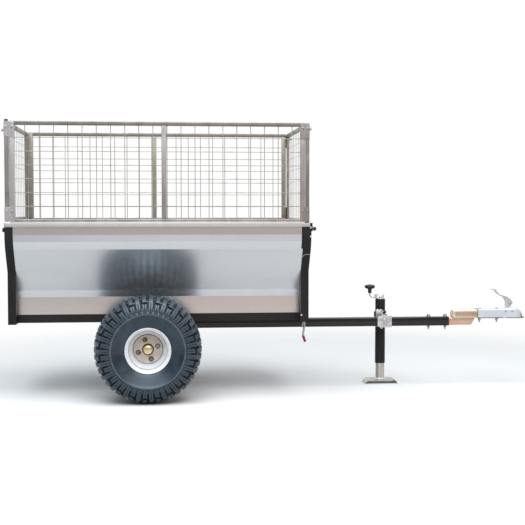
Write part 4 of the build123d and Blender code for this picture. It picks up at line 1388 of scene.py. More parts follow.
@dataclass
class Cage:
    """Mesh cage: two sides, a front panel and a rear gate."""

    shop: Workshop
    rear_x: float = -1398.0
    front_x: float = 113.0
    inner_y: float = 420.0
    outer_y: float = 440.0
    bottom: float = 928.0
    top: float = 1446.0
    tube: float = 20.0
    tube_corner: float = 2.2
    post: float = 25.0
    post_inset: float = 0.3
    post_lap: float = 4.0
    mid_post_offset: float = 25.5
    front_panel_x: float = 118.5
    front_panel_depth: float = 18.0
    gate_x: float = -1423.5
    gate_bottom: float = 936.0
    gate_reach: float = 424.0
    gate_lap: float = 3.0
    hinge: Pair = (-1413.5, 430.0)
    hinge_pin_top: float = 998.0
    first_wire_x: float = -1321.0
    first_wire_y: float = -360.0
    first_wire_z: float = 1014.0
    pitch_x: float = 72.0
    pitch_z: float = 70.0
    wire_radius: float = 1.75
    wire_step: float = 3.4
    wire_hold: float = 2.0
    side_wire_inset: float = 4.0
    front_wire_inset: float = 7.0
    gate_wire_inset: float = 8.0
    side_wires: tuple[int, int] = (20, 6)
    end_wires: tuple[int, int] = (11, 6)
    lip_low: float = 908.0
    lip_xs: Pair = (-1424.0, 141.0)
    lip_rise: float = 6.0
    lip_wall: float = 3.0
    plate: float = 2.6
    plate_tops: Pair = (1440.0, 1010.0)
    plate_feet: Pair = (1364.0, 935.0)
    gate_plate_feet: Pair = (1366.0, 940.0)
    bolt_zs: Pair = (1418.0, 990.0)
    rear_bolt_x: float = -1386.0
    front_plate_xs: Pair = (89.0, 137.0)
    front_bolt_xs: Pair = (101.0, 127.0)
    corner_bolt: Point = (136.5, 431.0, 1417.0)
    gate_plate_xs: Pair = (-1425.0, -1398.5)
    gate_bolt_x: float = -1414.5
    knob_z: float = 1400.0

    CAP = [(1445, 9.5), (1453, 9.5), (1455.4, 7.5), (1456, 4)]
    KNOB = [(-1440, 5), (-1439, 8), (-1432, 9), (-1428, 6), (-1423, 5)]

    def square_tube(self, low: Point, high: Point) -> Shape:
        """A shape for square tube, with its first length between two corners."""
        return Shape(self.tube_corner, 3).box(low, high)

    def grid(
        self, first: Wire, second: Wire, steps: Sequence[Point], counts: Sequence[int]
    ) -> bpy.types.Mesh:
        """Crossing wires, each set a row of copies.

        Args:
            first: Ends and axis of the first upright wire.
            second: Ends and axis of the first level wire.
            steps: Step from wire to wire for each set.
            counts: How many of each.

        Returns:
            The mesh.
        """
        sets = []
        for (start, end, along), step, count in zip((first, second), steps, counts):
            section = [(0, self.wire_radius), (end[along.value] - start[along.value], self.wire_radius)]
            wire = Shape().turned(section, start, along, 10).data("wire")
            sets.append(self.shop.row.grow("wires", wire, WIRE_ZINC, Count=count, Step=metres(step)))
        return joined(*sets)

    def side(self, side: Side) -> None:
        """One long side: rounded square tube, posts, wires and the bright lip under it.

        Args:
            side: Which side.
        """
        s = side.value
        near_side = side is Side.RIGHT
        low_y, high_y = sorted((s * self.inner_y, s * self.outer_y))
        rear, front, bottom, top = self.rear_x, self.front_x, self.bottom, self.top
        rail = self.square_tube((rear, low_y, top - self.tube), (front, high_y, top))
        piece(rail, f"cage_top_rail_{side.word}", CAGE_ZINC, Body.TUB)
        posts = self.square_tube((rear, low_y, bottom), (front, high_y, bottom + self.tube))
        middle = (rear + front) / 2
        for x in (middle - s * self.mid_post_offset - self.post / 2, front - self.post):
            foot = (x, low_y + self.post_inset, bottom + self.post_lap)
            posts.box(foot, (x + self.post, high_y - self.post_inset, top - self.post_lap))
        finish = POST_ZINC if near_side else OLIVE_POST
        piece(posts, f"cage_posts_{side.word}", finish, Body.TUB, [f"cage_side_{side.word}"])
        end = self.square_tube((rear, low_y - 0.1, bottom + 2), (rear + self.post, high_y + 0.1, top - 1))
        if not near_side:
            end.box((rear - 4.8, 434, bottom + 10), (rear + 4, 439.8, top - 2))
        piece(end, f"cage_rear_post_{side.word}", PALE_POST if near_side else OLIVE_POST, Body.TUB)
        x = middle + s * (middle - self.first_wire_x)
        y = s * (self.inner_y + self.side_wire_inset)
        level_y = y + s * self.wire_step
        near, far = rear + self.post - self.wire_hold, front - self.post + self.wire_hold
        low, high = bottom + self.tube - self.wire_hold, top - self.tube + self.wire_hold
        wires = self.grid(
            ((x, y, low), (x, y, high), Along.Z),
            ((near, level_y, self.first_wire_z), (far, level_y, self.first_wire_z), Along.X),
            ((-s * self.pitch_x, 0, 0), (0, 0, self.pitch_z)),
            self.side_wires,
        )
        piece(wires, f"cage_wires_{side.word}", WIRE_ZINC, Body.TUB)
        (back, ahead), raised = self.lip_xs, bottom + self.lip_rise
        outline = [
            (back, self.lip_low), (ahead, self.lip_low), (ahead, bottom), (front, bottom), (front, raised),
            (rear, raised), (rear, bottom), (back, bottom),
        ]
        lip = Shape().prism(outline, Lie.XZ, s * self.outer_y, s * (self.outer_y + self.lip_wall))
        piece(lip, f"lip_{side.word}", LIP_ZINC, Body.TUB)

    def end_panel(self, name: str, x: float, bottom: float, body: Body) -> None:
        """Wires across the front panel or the gate.

        Args:
            name: The piece's name.
            x: Where the upright wires stand.
            bottom: Foot of the panel's tube.
            body: The body that it moves with.
        """
        low, high = bottom + self.tube - self.wire_hold, self.top - self.tube + self.wire_hold
        end, level_x = self.inner_y + self.wire_hold, x + self.wire_step
        wires = self.grid(
            ((x, self.first_wire_y, low), (x, self.first_wire_y, high), Along.Z),
            ((level_x, -end, self.first_wire_z), (level_x, end, self.first_wire_z), Along.Y),
            ((0, self.pitch_x, 0), (0, 0, self.pitch_z)),
            self.end_wires,
        )
        piece(wires, name, PALE_WIRE, body)

    def front(self) -> None:
        """Front panel: tube frame with two posts and its wires."""
        x0, x1, y = self.front_panel_x, self.front_panel_x + self.front_panel_depth, self.outer_y
        shape = self.square_tube((x0, -y, self.top - self.tube), (x1, y, self.top))
        shape.box((x0, -y, self.bottom), (x1, y, self.bottom + self.tube))
        inset, lap = self.post_inset, self.post_lap
        for post in (-y, y - self.tube):
            foot = (x0 + inset, post, self.bottom + lap)
            shape.box(foot, (x1 - inset, post + self.tube, self.top - lap))
        piece(shape, "cage_front_frame", GATE_ZINC, Body.TUB, ["cage_front"])
        self.end_panel("cage_front_wires", x0 + self.front_wire_inset, self.bottom, Body.TUB)

    def gate(self) -> None:
        """Rear gate: tube frame on a round hinge tube, with its wires, cap and knob."""
        x0, x1, y = self.gate_x, self.gate_x + self.tube, self.outer_y
        bottom, top, pin = self.gate_bottom, self.top, self.hinge_pin_top
        reach, inset, lap = self.gate_reach, self.post_inset, self.gate_lap
        shape = self.square_tube((x0, -y, bottom), (x1, reach, bottom + self.tube))
        shape.box((x0, -y, top - self.tube), (x1, reach, top))
        shape.box((x0 + inset, -y, bottom + lap), (x1 - inset, -self.inner_y, top - lap))
        shape.box((x1 - 4, -y - 1.6, bottom + 4), (self.rear_x - 0.6, -y + 1, top - 4))
        tube = [(bottom, 6.5), (bottom, 10), (top, 10), (top, 0.5), (pin, 0.5), (pin, 6.5)]
        shape.turned(tube, (*self.hinge, 0), Along.Z, 32, ring=True)
        piece(shape, "cage_gate_frame", GATE_ZINC, Body.CAGE_GATE, ["cage_gate"])
        self.end_panel("cage_gate_wires", x0 + self.gate_wire_inset, bottom, Body.CAGE_GATE)
        hinge_x, hinge_y = self.hinge
        cap = Shape().turned(self.CAP, (hinge_x, -hinge_y, 0), Along.Z, 24)
        piece(cap, "gate_post_cap", PLASTIC, Body.CAGE_GATE)
        knob = Shape().turned(self.KNOB, (0, -hinge_y, self.knob_z), Along.X, 24)
        piece(knob, "gate_knob", BRIGHT_ZINC, Body.CAGE_GATE)

    def plates(self, x0: float, x1: float, sign: int, feet: Pair, bolt_xs: Iterable[float]) -> Shape:
        """An upper and a lower corner plate with their bolts.

        Args:
            x0: Rear edge.
            x1: Front edge.
            sign: The side of the cage.
            feet: Bottom edges of the two plates.
            bolt_xs: Where each plate's bolts stand.

        Returns:
            The plates.
        """
        face = sign * (self.outer_y + self.plate)
        low_y, high_y = sorted((sign * self.outer_y, face))
        shape = Shape(0.6)
        for low, high in zip(feet, self.plate_tops):
            shape.box((x0, low_y, low), (x1, high_y, high))
        for x in bolt_xs:
            for z in self.bolt_zs:
                shape.bolt((x, face, z), Along.Y, 10, 5, sign)
        return shape

    def brackets(self) -> None:
        """Corner plates and their bolts, on the sides and on the gate."""
        feet = self.plate_feet
        bolt_x, bolt_y, bolt_z = self.corner_bolt
        for side in Side:
            word, sign = side.word, side.value
            rear = self.plates(self.rear_x, self.rear_x + self.post, sign, feet, (self.rear_bolt_x,))
            piece(rear, f"cage_rear_corner_plates_{word}", CORNER_ZINC, Body.TUB, flat=PLATE_FACE)
            front = self.plates(*self.front_plate_xs, sign, feet, self.front_bolt_xs)
            front.bolt((bolt_x, sign * bolt_y, bolt_z), Along.X, 16, 11)
            piece(front, f"cage_front_corner_plates_{word}", WARM_ZINC, Body.TUB, flat=PLATE_FACE)
        gate = self.plates(*self.gate_plate_xs, Side.RIGHT.value, self.gate_plate_feet, (self.gate_bolt_x,))
        piece(gate, "cage_gate_brackets", CORNER_ZINC, Body.CAGE_GATE, flat=PLATE_FACE)

    def build(self) -> None:
        """Makes the whole cage."""
        for side in Side:
            self.side(side)
        self.front()
        self.gate()
        self.brackets()
        dress(BRIGHT_ZINC, "gate_hinge_pin")


# ---------------------------------------------------------------- tub


@dataclass
class Tub:
    """Folded tub with its end frames, rails and tailgate."""

    shop: Workshop
    lap_xs: Pair = (98.0, 107.0)
    lap_depth: float = 3.0
    post_foot_y: float = 335.0
    post_foot_z: float = 673.0
    post_slope: float = 0.706
    knob_place: Point = (154.0, -424.0, 897.0)
    gusset_ys: Pair = (-44.0, -16.0)
    weld_radius: float = 1.1

    SIDE_LINE = [(419, 792), (434, 831), (440, 867), (440, 908)]
    STOP_TAB = ((147, -437, 884), (154.4, -408, 927))
    GUSSET = [(147.5, 398.5), (162, 398.5), (147.5, 424)]
    STOP_KNOB = [(0, 4), (4, 4), (4.2, 8), (6.5, 10), (17, 10), (19.5, 8.5), (20.5, 6)]
    WELD = [(107, 748), (112, 755), (120, 760), (132, 761.5), (146, 760)]
    BOLTS = [(145, -440, 903), (145, -438.6, 856), (110, -335, 436)]

    def laps(self) -> None:
        """Strips where the front frame laps over the side sheets."""
        shape = Shape(0.3, 1)
        for side in Side:
            s = side.value
            outer = [(s * (y + 0.2), z) for y, z in self.SIDE_LINE]
            inner = [(s * (y - self.lap_depth), z) for y, z in reversed(self.SIDE_LINE)]
            shape.prism(outer + inner, Lie.YZ, *self.lap_xs)
        piece(shape, "front_frame_laps", FRAME_BLACK, Body.TUB)

    def fittings(self) -> None:
        """Stop tab with its knob and bolts, a weld across the post, and a gusset over the drawbar."""
        tab = Shape(0.6).box(*self.STOP_TAB).prism(self.GUSSET, Lie.XZ, *self.gusset_ys)
        piece(tab, "front_stop_tab", FRAME_BLACK, Body.TUB)
        knob = Shape().turned(self.STOP_KNOB, self.knob_place, Along.X, 24)
        piece(knob, "front_stop_knob", DARK_RED, Body.TUB)
        bolts = Shape()
        for foot in self.BOLTS:
            bolts.bolt(foot, Along.Y, 7, 3.5, -1)
        foot_y, foot_z = self.post_foot_y, self.post_foot_z
        line = [(x, -(foot_y + (z - foot_z) * self.post_slope + 0.6), z) for x, z in self.WELD]
        weld = self.shop.bent_rod("weld", BRACKET_ZINC, line, self.weld_radius, 4, 8)
        piece(joined(bolts, weld), "front_post_weld_and_bolts", BRACKET_ZINC, Body.TUB)

    def build(self) -> None:
        """Dresses the tub and adds its small fittings."""
        self.laps()
        self.fittings()
        dress(SHEET_ZINC, "tub_floor", "side_panel_left", "side_panel_right")
        dress(
            FRAME_BLACK, "bottom_rail_left", "bottom_rail_right", "front_board", "rear_frame",
            "cross_members", "pivot_crossmember", "pivot_lugs", "tailgate",
        )


# ---------------------------------------------------------------- chassis


@dataclass
class Chassis:
    """Drawbar, axle, coupling and latch.

    Tube stations are X, half width, bottom, top and corner radius; hood stations are X, half width, top and
    corner radius, from rear to front.
    """

    bolt_xs: Pair = (882.3, 978.8)
    bar_bottom: float = 338.0
    bar_top: float = 388.0
    bar_half: float = 25.0
    bar_xs: Pair = (-770.0, 996.0)
    lower_half: float = 19.0
    plug_xs: Pair = (1014.0, 1018.0)
    flat_ys: Pair = (26.0, 27.8)
    ball_x: float = 1391.0
    hood_wall: float = 3.6
    hood_foot: float = 381.0
    hood_bolt_z: float = 417.5
    flange_bottom: float = 378.8
    flange_top: float = 384.9
    flange_centre_x: float = 1393.9
    flange_radii: Pair = (46.1, 36.0)
    flange_turn: int = 84
    clamp_face: float = 379.0
    lever_half: float = 11.0
    rear_shadow_band_xs: Pair = (1159.8, 1163.6)
    clamp_bolt_xs: Pair = (1179.0, 1280.0)

    LOWER = [(906, 341), (1126, 341), (1149, 379), (906, 379)]
    UPPER = [
        (1011, 9, 390, 420, 7), (1013, 16, 385, 425, 9), (1018, 22, 381, 428, 10), (1026, 26, 379.4, 429, 10),
        (1036, 27, 379, 429, 10), (1290, 27, 379, 429, 10),
    ]
    PLUG = [(-13, 388), (13, 388), (13, 420), (-13, 420)]
    FLAT = [(1036, 391), (1158, 389), (1158, 411), (1150, 415), (1036, 418), (1027, 409)]
    HOOD = [
        (1163, 31, 431, 8), (1296, 31, 431, 8), (1324, 31.5, 434, 9), (1350, 36, 437, 10),
        (1374, 42, 437.6, 12), (1385, 43, 436.2, 13), (1394, 41.8, 433.4, 14), (1401, 39.5, 429.8, 15),
        (1407, 36.3, 425.4, 15), (1411.5, 33, 421, 14),
    ]
    NOSE = [
        (1411.5, 33, 421, 14), (1415.5, 29.8, 416, 13.5), (1419.5, 26, 409.5, 12.5), (1423, 21.5, 402, 11),
        (1425.5, 17, 395.8, 8.5), (1427.3, 12, 390.5, 6), (1428.4, 7.5, 387.3, 4), (1428.8, 4, 385.9, 2.4),
    ]
    CUP = [(382, 25.6), (382, 29.5), (417, 29.5), (420, 27), (420, 1), (416, 1), (416, 25.6)]
    LIP = [
        (1326, 31.6), (1350, 36.5), (1376, 43), (1396, 43.4), (1396, 46.2), (1376, 45.8), (1350, 39.3),
        (1326, 34.4),
    ]
    RIVET = [(431, 9), (434, 9), (436, 7), (436.6, 4)]
    HOOD_BOLTS = [(1324.8, 31), (1360, 37)]
    HOOD_CORNER = [(0, 1), (0.08, 0.62), (0.29, 0.29), (0.62, 0.08), (1, 0)]  # parts of the radius
    HOOD_INNER_FOOT = [(0, 0), (0, 2), (0, 4)]
    HOOD_OUTER_FOOT = [(2.4, 0), (2.4, 3.6), (0, 4.6)]
    HANDLE = [
        (1331, 438), (1354, 438), (1372, 467), (1356, 487), (1338, 499), (1299, 510), (1282, 524),
        (1271, 542), (1243, 545), (1243, 541), (1263, 536), (1280, 516), (1317, 495), (1331, 474),
    ]

    def bolts(self) -> None:
        """Bolts through the drawbar."""
        shape = Shape()
        for x in self.bolt_xs:
            shape.bolt((x, 0, self.bar_top), Along.Z, 18, 14.5)
            shape.bolt((x, 0, self.bar_bottom), Along.Z, 13.5, 11, -1, 11)
        piece(shape, "drawbar_bolts", DULL_ZINC, Body.CHASSIS)

    def tube(self, stations: Sequence[tuple[float, ...]], wall: float, steps: int) -> Shape:
        """A rounded rectangular tube along X.

        Args:
            stations: The tube's stations from end to end.
            wall: Its wall.
            steps: Steps round a corner.

        Returns:
            The tube, open at both ends.
        """
        rings = []
        for inset, order in ((0.0, stations), (wall, stations[::-1])):
            for x, half, low, high, radius in order:
                r = max(radius - inset, 0.5)
                y, bottom, top = half - inset - r, low + inset + r, high - inset - r
                ring = []
                for cy, cz, first in ((y, top, 0), (-y, top, 90), (-y, bottom, 180), (y, bottom, 270)):
                    for i in range(steps + 1):
                        angle = math.radians(first + 90 * i / steps)
                        ring.append(Along.X.around((x, cy, cz), 0, r, angle))
                rings.append(ring)
        return Shape().skin(rings, looped=True, bevel=0.0)

    def drawbar(self) -> None:
        """Square tube with rounded corners."""
        stations = [(x, self.bar_half, self.bar_bottom, self.bar_top, 8) for x in self.bar_xs]
        piece(self.tube(stations, 3, 5), "drawbar_tube", BAR_BLACK, Body.CHASSIS, ["drawbar"])

    def adaptor(self) -> None:
        """Lower tube with its cut nose, and the rounded upper tube with a flat on each side."""
        lower = Shape(3.5, 3).prism(self.LOWER, Lie.XZ, -self.lower_half, self.lower_half)
        piece(lower, "adaptor_lower_tube", PINK_GOLD, Body.CHASSIS, ["adaptor_tube"])
        upper = self.tube(self.UPPER, 4, 4).prism(self.PLUG, Lie.YZ, *self.plug_xs)
        piece(upper, "adaptor_upper_tube", STRAW_GOLD, Body.CHASSIS, ["adaptor_sleeve"])
        flats = Shape(1.2)
        near, far = self.flat_ys
        for y0, y1 in ((-far, -near), (near, far)):
            flats.prism(self.FLAT, Lie.XZ, y0, y1)
        # The flats' rose tone is passivated zinc deepened by a painted warm reflection.
        piece(flats, "adaptor_side_flats", ROSE_ZINC_AND_REFLECTION, Body.CHASSIS)

    def flange(self) -> Shape:
        """The hood's foot flange round the ball and along both sides, and a dark band painted as shadow at
        its rear edge.
        """
        low, high = self.flange_bottom, self.flange_top
        arc = []
        for radius, way in zip(self.flange_radii, (1, -1)):
            for turn in range(-self.flange_turn, self.flange_turn + 1, 6):
                angle = math.radians(way * turn)
                arc.append((self.flange_centre_x + radius * math.cos(angle), radius * math.sin(angle)))
        shape = Shape(0.5, 1).prism(arc, Lie.XY, low, high - 0.1)
        # The band round the hood's rear edge is painted shadow.
        rear, front = self.rear_shadow_band_xs
        for side in Side:
            s = side.value
            y0, y1 = sorted((s * 30.8, s * 33.6))
            shape.box((1163, y0, low), (1330, y1, high))
            shape.prism([(x, s * y) for x, y in self.LIP][::s], Lie.XY, low, high)
            y0, y1 = sorted((s * 27.4, s * 31.8))
            shape.box((rear, y0, self.hood_foot), (front, y1, 431.6))
        return shape.box((rear, -27.4, 429.4), (front, 27.4, 431.8))

    def coupling(self) -> None:
        """Pressed coupling head: a hollow hood with its flange, ball cup, bolts and nuts."""
        head = self.hood(self.HOOD).turned(self.CUP, (self.ball_x, 0, 0), Along.Z, 40, ring=True)
        piece(head, "coupling_hood", COUPLING_ZINC, Body.CHASSIS, ["coupling_body"])
        # The nose is dark zinc: a painted dark reflection on its curved end.
        piece(self.hood(self.NOSE), "coupling_nose", DARK_ZINC_AND_SHADE, Body.CHASSIS)
        piece(self.flange(), "coupling_flange", DARK_ZINC_AND_SHADE, Body.CHASSIS)
        bolts = Shape()
        for x, y in self.HOOD_BOLTS:
            for side in Side:
                bolts.bolt((x, side.value * y, self.hood_bolt_z), Along.Y, 8, 3.5, side.value)
        for x in self.clamp_bolt_xs:
            bolts.turned(self.RIVET, (x, 0, 0), Along.Z, 20)
            bolts.bolt((x, 0, self.clamp_face), Along.Z, 15, 13, -1, 12)
        piece(bolts, "coupling_bolts", DULL_ZINC, Body.CHASSIS)

    def hood(self, stations: Sequence[tuple[float, ...]]) -> Shape:
        """A hollow pressed hood, open underneath.

        Args:
            stations: The hood's stations.

        Returns:
            The hood.
        """
        low = self.hood_foot
        rings = []
        for x, half, top, radius in stations:
            ring: list[Point] = []
            for inset, flip in ((0.0, 1), (min(self.hood_wall, half * 0.5), -1)):
                r = max(radius - inset, 0.8)
                w, t = half - inset, top - inset
                edge = [(w - a * r, t - b * r) for a, b in self.HOOD_CORNER]
                foot = self.HOOD_OUTER_FOOT if flip > 0 else self.HOOD_INNER_FOOT
                half_ring = [(w + a, low + b) for a, b in foot] + edge
                whole = half_ring + [(-y, z) for y, z in reversed(half_ring)]
                ring += [(x, y, z) for y, z in whole[::flip]]
            rings.append(ring)
        return Shape().skin(rings, bevel=0.0)

    def lever(self) -> None:
        """Bent coupling lever."""
        shape = Shape(1.2).prism(self.HANDLE, Lie.XZ, -self.lever_half, self.lever_half)
        piece(shape, "coupling_handle", LEVER_ZINC, Body.CHASSIS, ["coupling_lever"])

    def build(self) -> None:
        """Dresses the chassis and adds its fittings."""
        dress(FRAME_BLACK, "axle_beam", "axle_saddle", "pivot_bracket_left", "pivot_bracket_right")
        dress(BUFFER, "rest_pad")
        dress(BRIGHT_ZINC, "tilt_latch")
        dress(RED_DIP, "latch_grip")
        self.drawbar()
        self.adaptor()
        self.coupling()
        self.bolts()
        self.lever()


# ---------------------------------------------------------------- jack


@dataclass
class Jack:
    """Swivel jack: mount, tube, leg with its foot, and the crank."""

    shop: Workshop
    x: float = 622.0
    y: float = 92.0
    foot_length: float = 188.0
    foot_width: float = 96.0
    bar_side: float = 25.0
    plate: float = 3.5
    pivot_z: float = 363.0
    front_step: float = 3.0
    rib_ys: Pair = (-33.0, -31.0)
    slot_ys: Pair = (-30.0, -28.0)
    far_plate: float = 6.0
    tab_depth: float = 5.0
    bolt_place: Pair = (624.0, 372.0)
    small_bolt_place: Pair = (652.0, 347.0)
    pin_ys: Pair = (31.0, 40.0)
    pin_place: Point = (628, 38, 413)
    ear_starts: Pair = (-15.0, 9.0)
    ear: float = 5.0
    spike_edges: Pair = (-9.0, -4.0)
    cross_pin: Pair = (597.0, 501.0)
    arm_radius: float = 3.8
    grip_x: float = 561.0

    FOOT_TOP = [(0, 0), (2, 8), (7, 15), (14, 20.5), (22, 24)]
    FOOT_UNDER = [(5, 0), (8, 7), (13, 13), (19, 17.5), (25, 19.5)]
    FOOT_WELD = [(24, 24.6), (24, 30), (26, 29.4), (28.5, 27), (30, 24.6)]
    NEAR_REAR = [
        (584, 392), (584, 338), (594, 335), (603, 324), (610, 324), (618, 335), (628, 338), (628, 394),
        (606, 397),
    ]
    NEAR_FRONT = [
        (616, 397), (616, 336), (620, 332), (660, 332), (664, 336), (664, 396), (658, 400), (640, 398),
    ]
    NEAR_RIB = [(640, 342), (644, 342), (644, 388), (640, 388)]
    NEAR_SLOT = [(588, 352), (592, 346), (604, 346), (604, 350), (594, 352)]
    FAR = [
        (584, 331), (664, 331), (664, 388), (645, 397), (626, 402), (622, 410), (630, 418), (622, 428),
        (610, 431), (602, 424), (598, 431), (588, 429), (584, 416),
    ]
    FAR_TAB = [(592, 400), (612, 396), (618, 404), (612, 414), (596, 420)]
    STUB = [(31, 24), (52, 24), (55.5, 22)]
    BOLT_WASHER = [(0, 15), (0.8, 15)]
    PIN_BLOCK = [(575, 390), (590, 384), (590, 414), (583, 420), (575, 416)]
    PIN = [(0, 4), (8, 4), (8.4, 7), (15, 7.4), (17, 6), (18, 3)]
    CRANK_CAP = [(484, 21), (487, 21), (488, 20)]
    SCREW = [(488, 10), (496, 10), (498, 8), (502, 7), (502.5, 5)]
    EAR = [
        (603, 487.5), (594, 487.5), (589.5, 497), (592, 508), (600, 514), (608, 512.5), (610, 506),
        (603, 503), (600, 496),
    ]
    CROSS_PIN = [(-18, 4), (18, 4)]
    SPIKE = [(626, 487.5), (630, 500), (640, 515), (645, 515), (640, 502), (642, 487.5)]
    ARM = [(561, 522), (561, 505), (569, 495), (588, 491), (600, 497)]
    GRIP = [
        (518, 8.6), (520, 10), (536, 10.4), (541, 12), (544, 20), (547.5, 27), (552, 29.6), (557, 30),
        (561, 28.4), (563, 26), (564, 23), (562.5, 15), (564.5, 12), (567, 9), (567, 3),
    ]

    def foot(self) -> None:
        """Pressed foot with turned-down ends, welded to the leg."""
        half, width = self.foot_length / 2, self.foot_width / 2
        top = [(a - half, b) for a, b in self.FOOT_TOP]
        under = [(half - a, b) for a, b in self.FOOT_UNDER]
        line = top + [(-a, b) for a, b in reversed(top)] + under + [(-a, b) for a, b in reversed(under)]
        outline = [(self.x + a, b) for a, b in line]
        shape = Shape().prism(outline, Lie.XZ, self.y - width, self.y + width)
        piece(shape, "jack_foot_plate", FOOT_ZINC, Body.JACK_LEG, ["jack_foot"])
        weld = Shape().turned(self.FOOT_WELD, (self.x, self.y, 0), Along.Z, 32, ring=True)
        piece(weld, "jack_foot_weld", COUPLING_ZINC, Body.JACK_LEG)

    def mount(self) -> None:
        """Clamp plates each side of the drawbar, the pivot stub, the through bolts and the lock pin."""
        side, thick = self.bar_side, self.plate
        face = -side - thick - self.front_step
        near = Shape()
        near.prism(self.NEAR_REAR, Lie.XZ, -side - thick, -side)
        near.prism(self.NEAR_FRONT, Lie.XZ, face, face + thick)
        near.prism(self.NEAR_RIB, Lie.XZ, *self.rib_ys)
        near.prism(self.NEAR_SLOT, Lie.XZ, *self.slot_ys)
        piece(near, "jack_clamp_near", BRACKET_ZINC, Body.CHASSIS, ["jack_plate_near"])
        far = Shape().prism(self.FAR, Lie.XZ, side, side + self.far_plate)
        far.turned(self.STUB, (self.x, 0, self.pivot_z), Along.Y, 40)
        far.prism(self.FAR_TAB, Lie.XZ, side - self.tab_depth, side)
        piece(far, "jack_clamp_far", BRACKET_ZINC, Body.CHASSIS, ["jack_mount"])
        x, z = self.bolt_place
        bolts = Shape().bolt((x, face, z), Along.Y, 19, 9, -1, 3, 30)
        bolts.turned(self.BOLT_WASHER, (x, face, z), Along.Y, 24, -1)
        x, z = self.small_bolt_place
        bolts.bolt((x, face, z), Along.Y, 9, 4, -1)
        piece(bolts, "jack_clamp_bolt", BRIGHT_ZINC, Body.CHASSIS)
        pin = Shape().prism(self.PIN_BLOCK, Lie.XZ, *self.pin_ys)
        pin.turned(self.PIN, self.pin_place, Along.X, 20)
        piece(pin, "jack_lock_pin", PLASTIC, Body.CHASSIS)

    def crank(self) -> None:
        """Folding crank: eared bracket on the screw, its cross pin, the bent arm and the mushroom grip."""
        y = self.y
        shape = Shape(0.6)
        shape.turned(self.CRANK_CAP, (self.x, y, 0), Along.Z, 32)
        shape.turned(self.SCREW, (self.x + 2, y, 0), Along.Z, 20)
        for start in self.ear_starts:
            shape.prism(self.EAR, Lie.XZ, y + start, y + start + self.ear)
        shape.prism(self.SPIKE, Lie.XZ, *(y + edge for edge in self.spike_edges))
        x, z = self.cross_pin
        shape.turned(self.CROSS_PIN, (x, y, z), Along.Y, 16, bevel=0.5)
        line = [(along, y, up) for along, up in self.ARM]
        arm = self.shop.bent_rod("arm", COUPLING_ZINC, line, self.arm_radius, 6, 14)
        piece(joined(shape, arm), "jack_folding_crank", LEVER_ZINC, Body.JACK, ["jack_crank"])
        grip = Shape().turned(self.GRIP, (self.grip_x, y, 0), Along.Z, 40)
        piece(grip, "jack_mushroom_grip", PLASTIC, Body.JACK, ["crank_knob"])

    def build(self) -> None:
        """Dresses the jack and adds its fittings."""
        dress(FRAME_BLACK, "jack_tube", "jack_collar")
        dress(LEG_STEEL, "jack_leg")
        self.mount()
        self.crank()
        self.foot()


# ---------------------------------------------------------------- studio


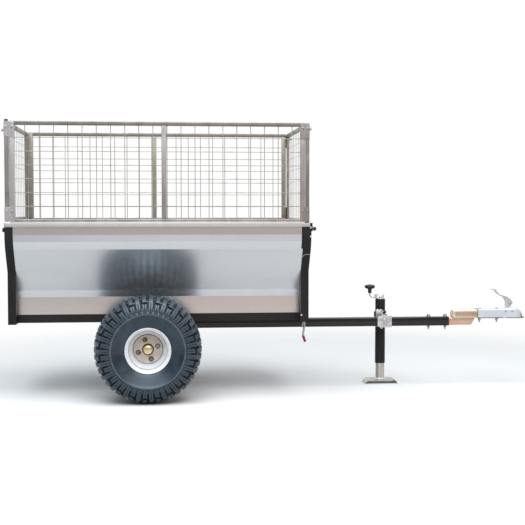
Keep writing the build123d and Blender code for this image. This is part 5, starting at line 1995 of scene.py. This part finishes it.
@dataclass
class Studio:
    """Pale floor, a soft light and the camera, in metres and degrees.

    The sky's stops are (height of the ray, colour). A glossy ray sees white from one Y to another, and the
    sky's tint goes from the rear's to the front's between two values of X.
    """

    eye: Point = (-0.6537, -6.154, 1.000)
    yaw: float = 5.447
    pitch: float = 2.772
    lens: float = 75.77
    floor_size: float = 4.0
    box_place: Point = (-0.6, -2.4, 4.5)
    box_aim: Point = (-0.5, 0, 0.5)
    box_size: float = 5.2
    box_power: float = 275.0
    box_colour: Colour = (0.94, 0.97, 1.0)
    white_ys: Pair = (-0.1, 0.35)
    white_share: float = 0.85
    tint_xs: Pair = (-0.2, 0.02)
    rear_tint: Colour = (0.80, 0.91, 0.97)
    front_tint: Colour = (1.03, 1.0, 0.96)

    SKY = [
        (-1.0, (0.60, 0.62, 0.66)), (-0.3, (0.42, 0.415, 0.42)), (-0.11, (0.84, 0.65, 0.57)),
        (-0.05, (0.58, 0.44, 0.38)), (-0.015, (0.10, 0.07, 0.055)), (0.04, (0.17, 0.145, 0.13)),
        (0.12, (0.36, 0.35, 0.345)), (0.3, (0.50, 0.50, 0.51)), (1.0, (0.66, 0.70, 0.75)),
    ]

    def place(self, name: str, data: Any, where: Point, turn: Any = (0, 0, 0)) -> bpy.types.Object:
        """Puts a mesh, lamp or camera in the scene.

        Args:
            name: The object's name.
            data: Its data.
            where: Its place.
            turn: Its turn, in radians.

        Returns:
            The object.
        """
        made = bpy.data.objects.new(name, data)
        made.location = where
        made.rotation_euler = turn
        bpy.context.scene.collection.objects.link(made)
        return made

    def floor(self) -> None:
        """A wide pale floor."""
        mesh = bpy.data.meshes.new("floor")
        s = self.floor_size
        mesh.from_pydata([(-s, -s, 0), (s, -s, 0), (s, s, 0), (-s, s, 0)], [], [(0, 1, 2, 3)])
        mesh.materials.append(FLOOR.material())
        self.place("floor", mesh, (0, 0, 0))

    def light(self) -> None:
        """A wide soft box overhead, a little to the front."""
        lamp = bpy.data.lights.new("soft box", "AREA")
        lamp.shape = "SQUARE"
        lamp.size = self.box_size
        lamp.energy = self.box_power
        lamp.color = self.box_colour
        away = Vector(self.box_place) - Vector(self.box_aim)
        self.place("soft box", lamp, self.box_place, away.to_track_quat("Z", "Y").to_euler())

    def sky(self) -> None:
        """White backdrop; gloss and light see the room in front dimmer, with a warm band at the horizon."""
        world = bpy.data.worlds.new("studio")
        bpy.context.scene.world = world
        graph = Graph(world)
        where = graph.node("ShaderNodeTexCoord").outputs["Generated"]
        x, y, z = graph.node("ShaderNodeSeparateXYZ", {}, {0: where}).outputs
        lift = graph.node("ShaderNodeMapRange", {}, {"Value": z, "From Min": -1.0})
        stops = [(0.5 + 0.5 * height, colour) for height, colour in self.SKY]
        room = graph.node("ShaderNodeValToRGB", {"stops": stops}, {0: lift.outputs[0]})
        inputs = {"From Min": self.white_ys[0], "From Max": self.white_ys[1], "To Max": self.white_share}
        behind = graph.node("ShaderNodeMapRange", {}, {"Value": y, **inputs})
        rays = graph.node("ShaderNodeLightPath").outputs
        gloss = Value(graph, rays["Is Glossy Ray"]) * behind.outputs[0]
        white = graph.node("ShaderNodeMath", {"operation": "MAXIMUM"}, {0: rays["Is Camera Ray"], 1: gloss})
        inputs = {"From Min": self.tint_xs[0], "From Max": self.tint_xs[1]}
        across = graph.node("ShaderNodeMapRange", {}, {"Value": x, **inputs})
        tint = graph.mix(across.outputs[0], self.rear_tint, self.front_tint)
        multiply = {"data_type": "RGBA", "blend_type": "MULTIPLY"}
        tinted = graph.node("ShaderNodeMix", multiply, {0: 1.0, 6: room.outputs[0], 7: tint})
        colour = graph.mix(white.outputs[0], tinted.outputs[2], (1, 1, 1))
        back = graph.node("ShaderNodeBackground", {}, {"Color": colour})
        graph.node("ShaderNodeOutputWorld", {}, {"Surface": back.outputs[0]})

    def camera(self) -> None:
        """The camera, level with the load."""
        data = bpy.data.cameras.new("camera")
        data.lens = self.lens
        data.sensor_width = 36.0
        turn = (math.radians(90 - self.pitch), 0, -math.radians(self.yaw))
        bpy.context.scene.camera = self.place("camera", data, self.eye, turn)

    def build(self) -> None:
        """Sets up the studio."""
        bpy.context.scene.view_settings.view_transform = "Standard"
        self.floor()
        self.light()
        self.sky()
        self.camera()


def main() -> None:
    """Builds the trailer and the studio."""
    logging.basicConfig(level=logging.INFO, format="%(message)s")
    shop = Workshop(row_pattern(), ring_pattern(), rod_pattern())
    Studio().build()
    for side, body in ((Side.LEFT, Body.WHEEL_LEFT), (Side.RIGHT, Body.WHEEL_RIGHT)):
        Wheel(side, body, shop).build()
    Tub(shop).build()
    Cage(shop).build()
    Chassis().build()
    Jack(shop).build()


if __name__ == "__main__":
    main()
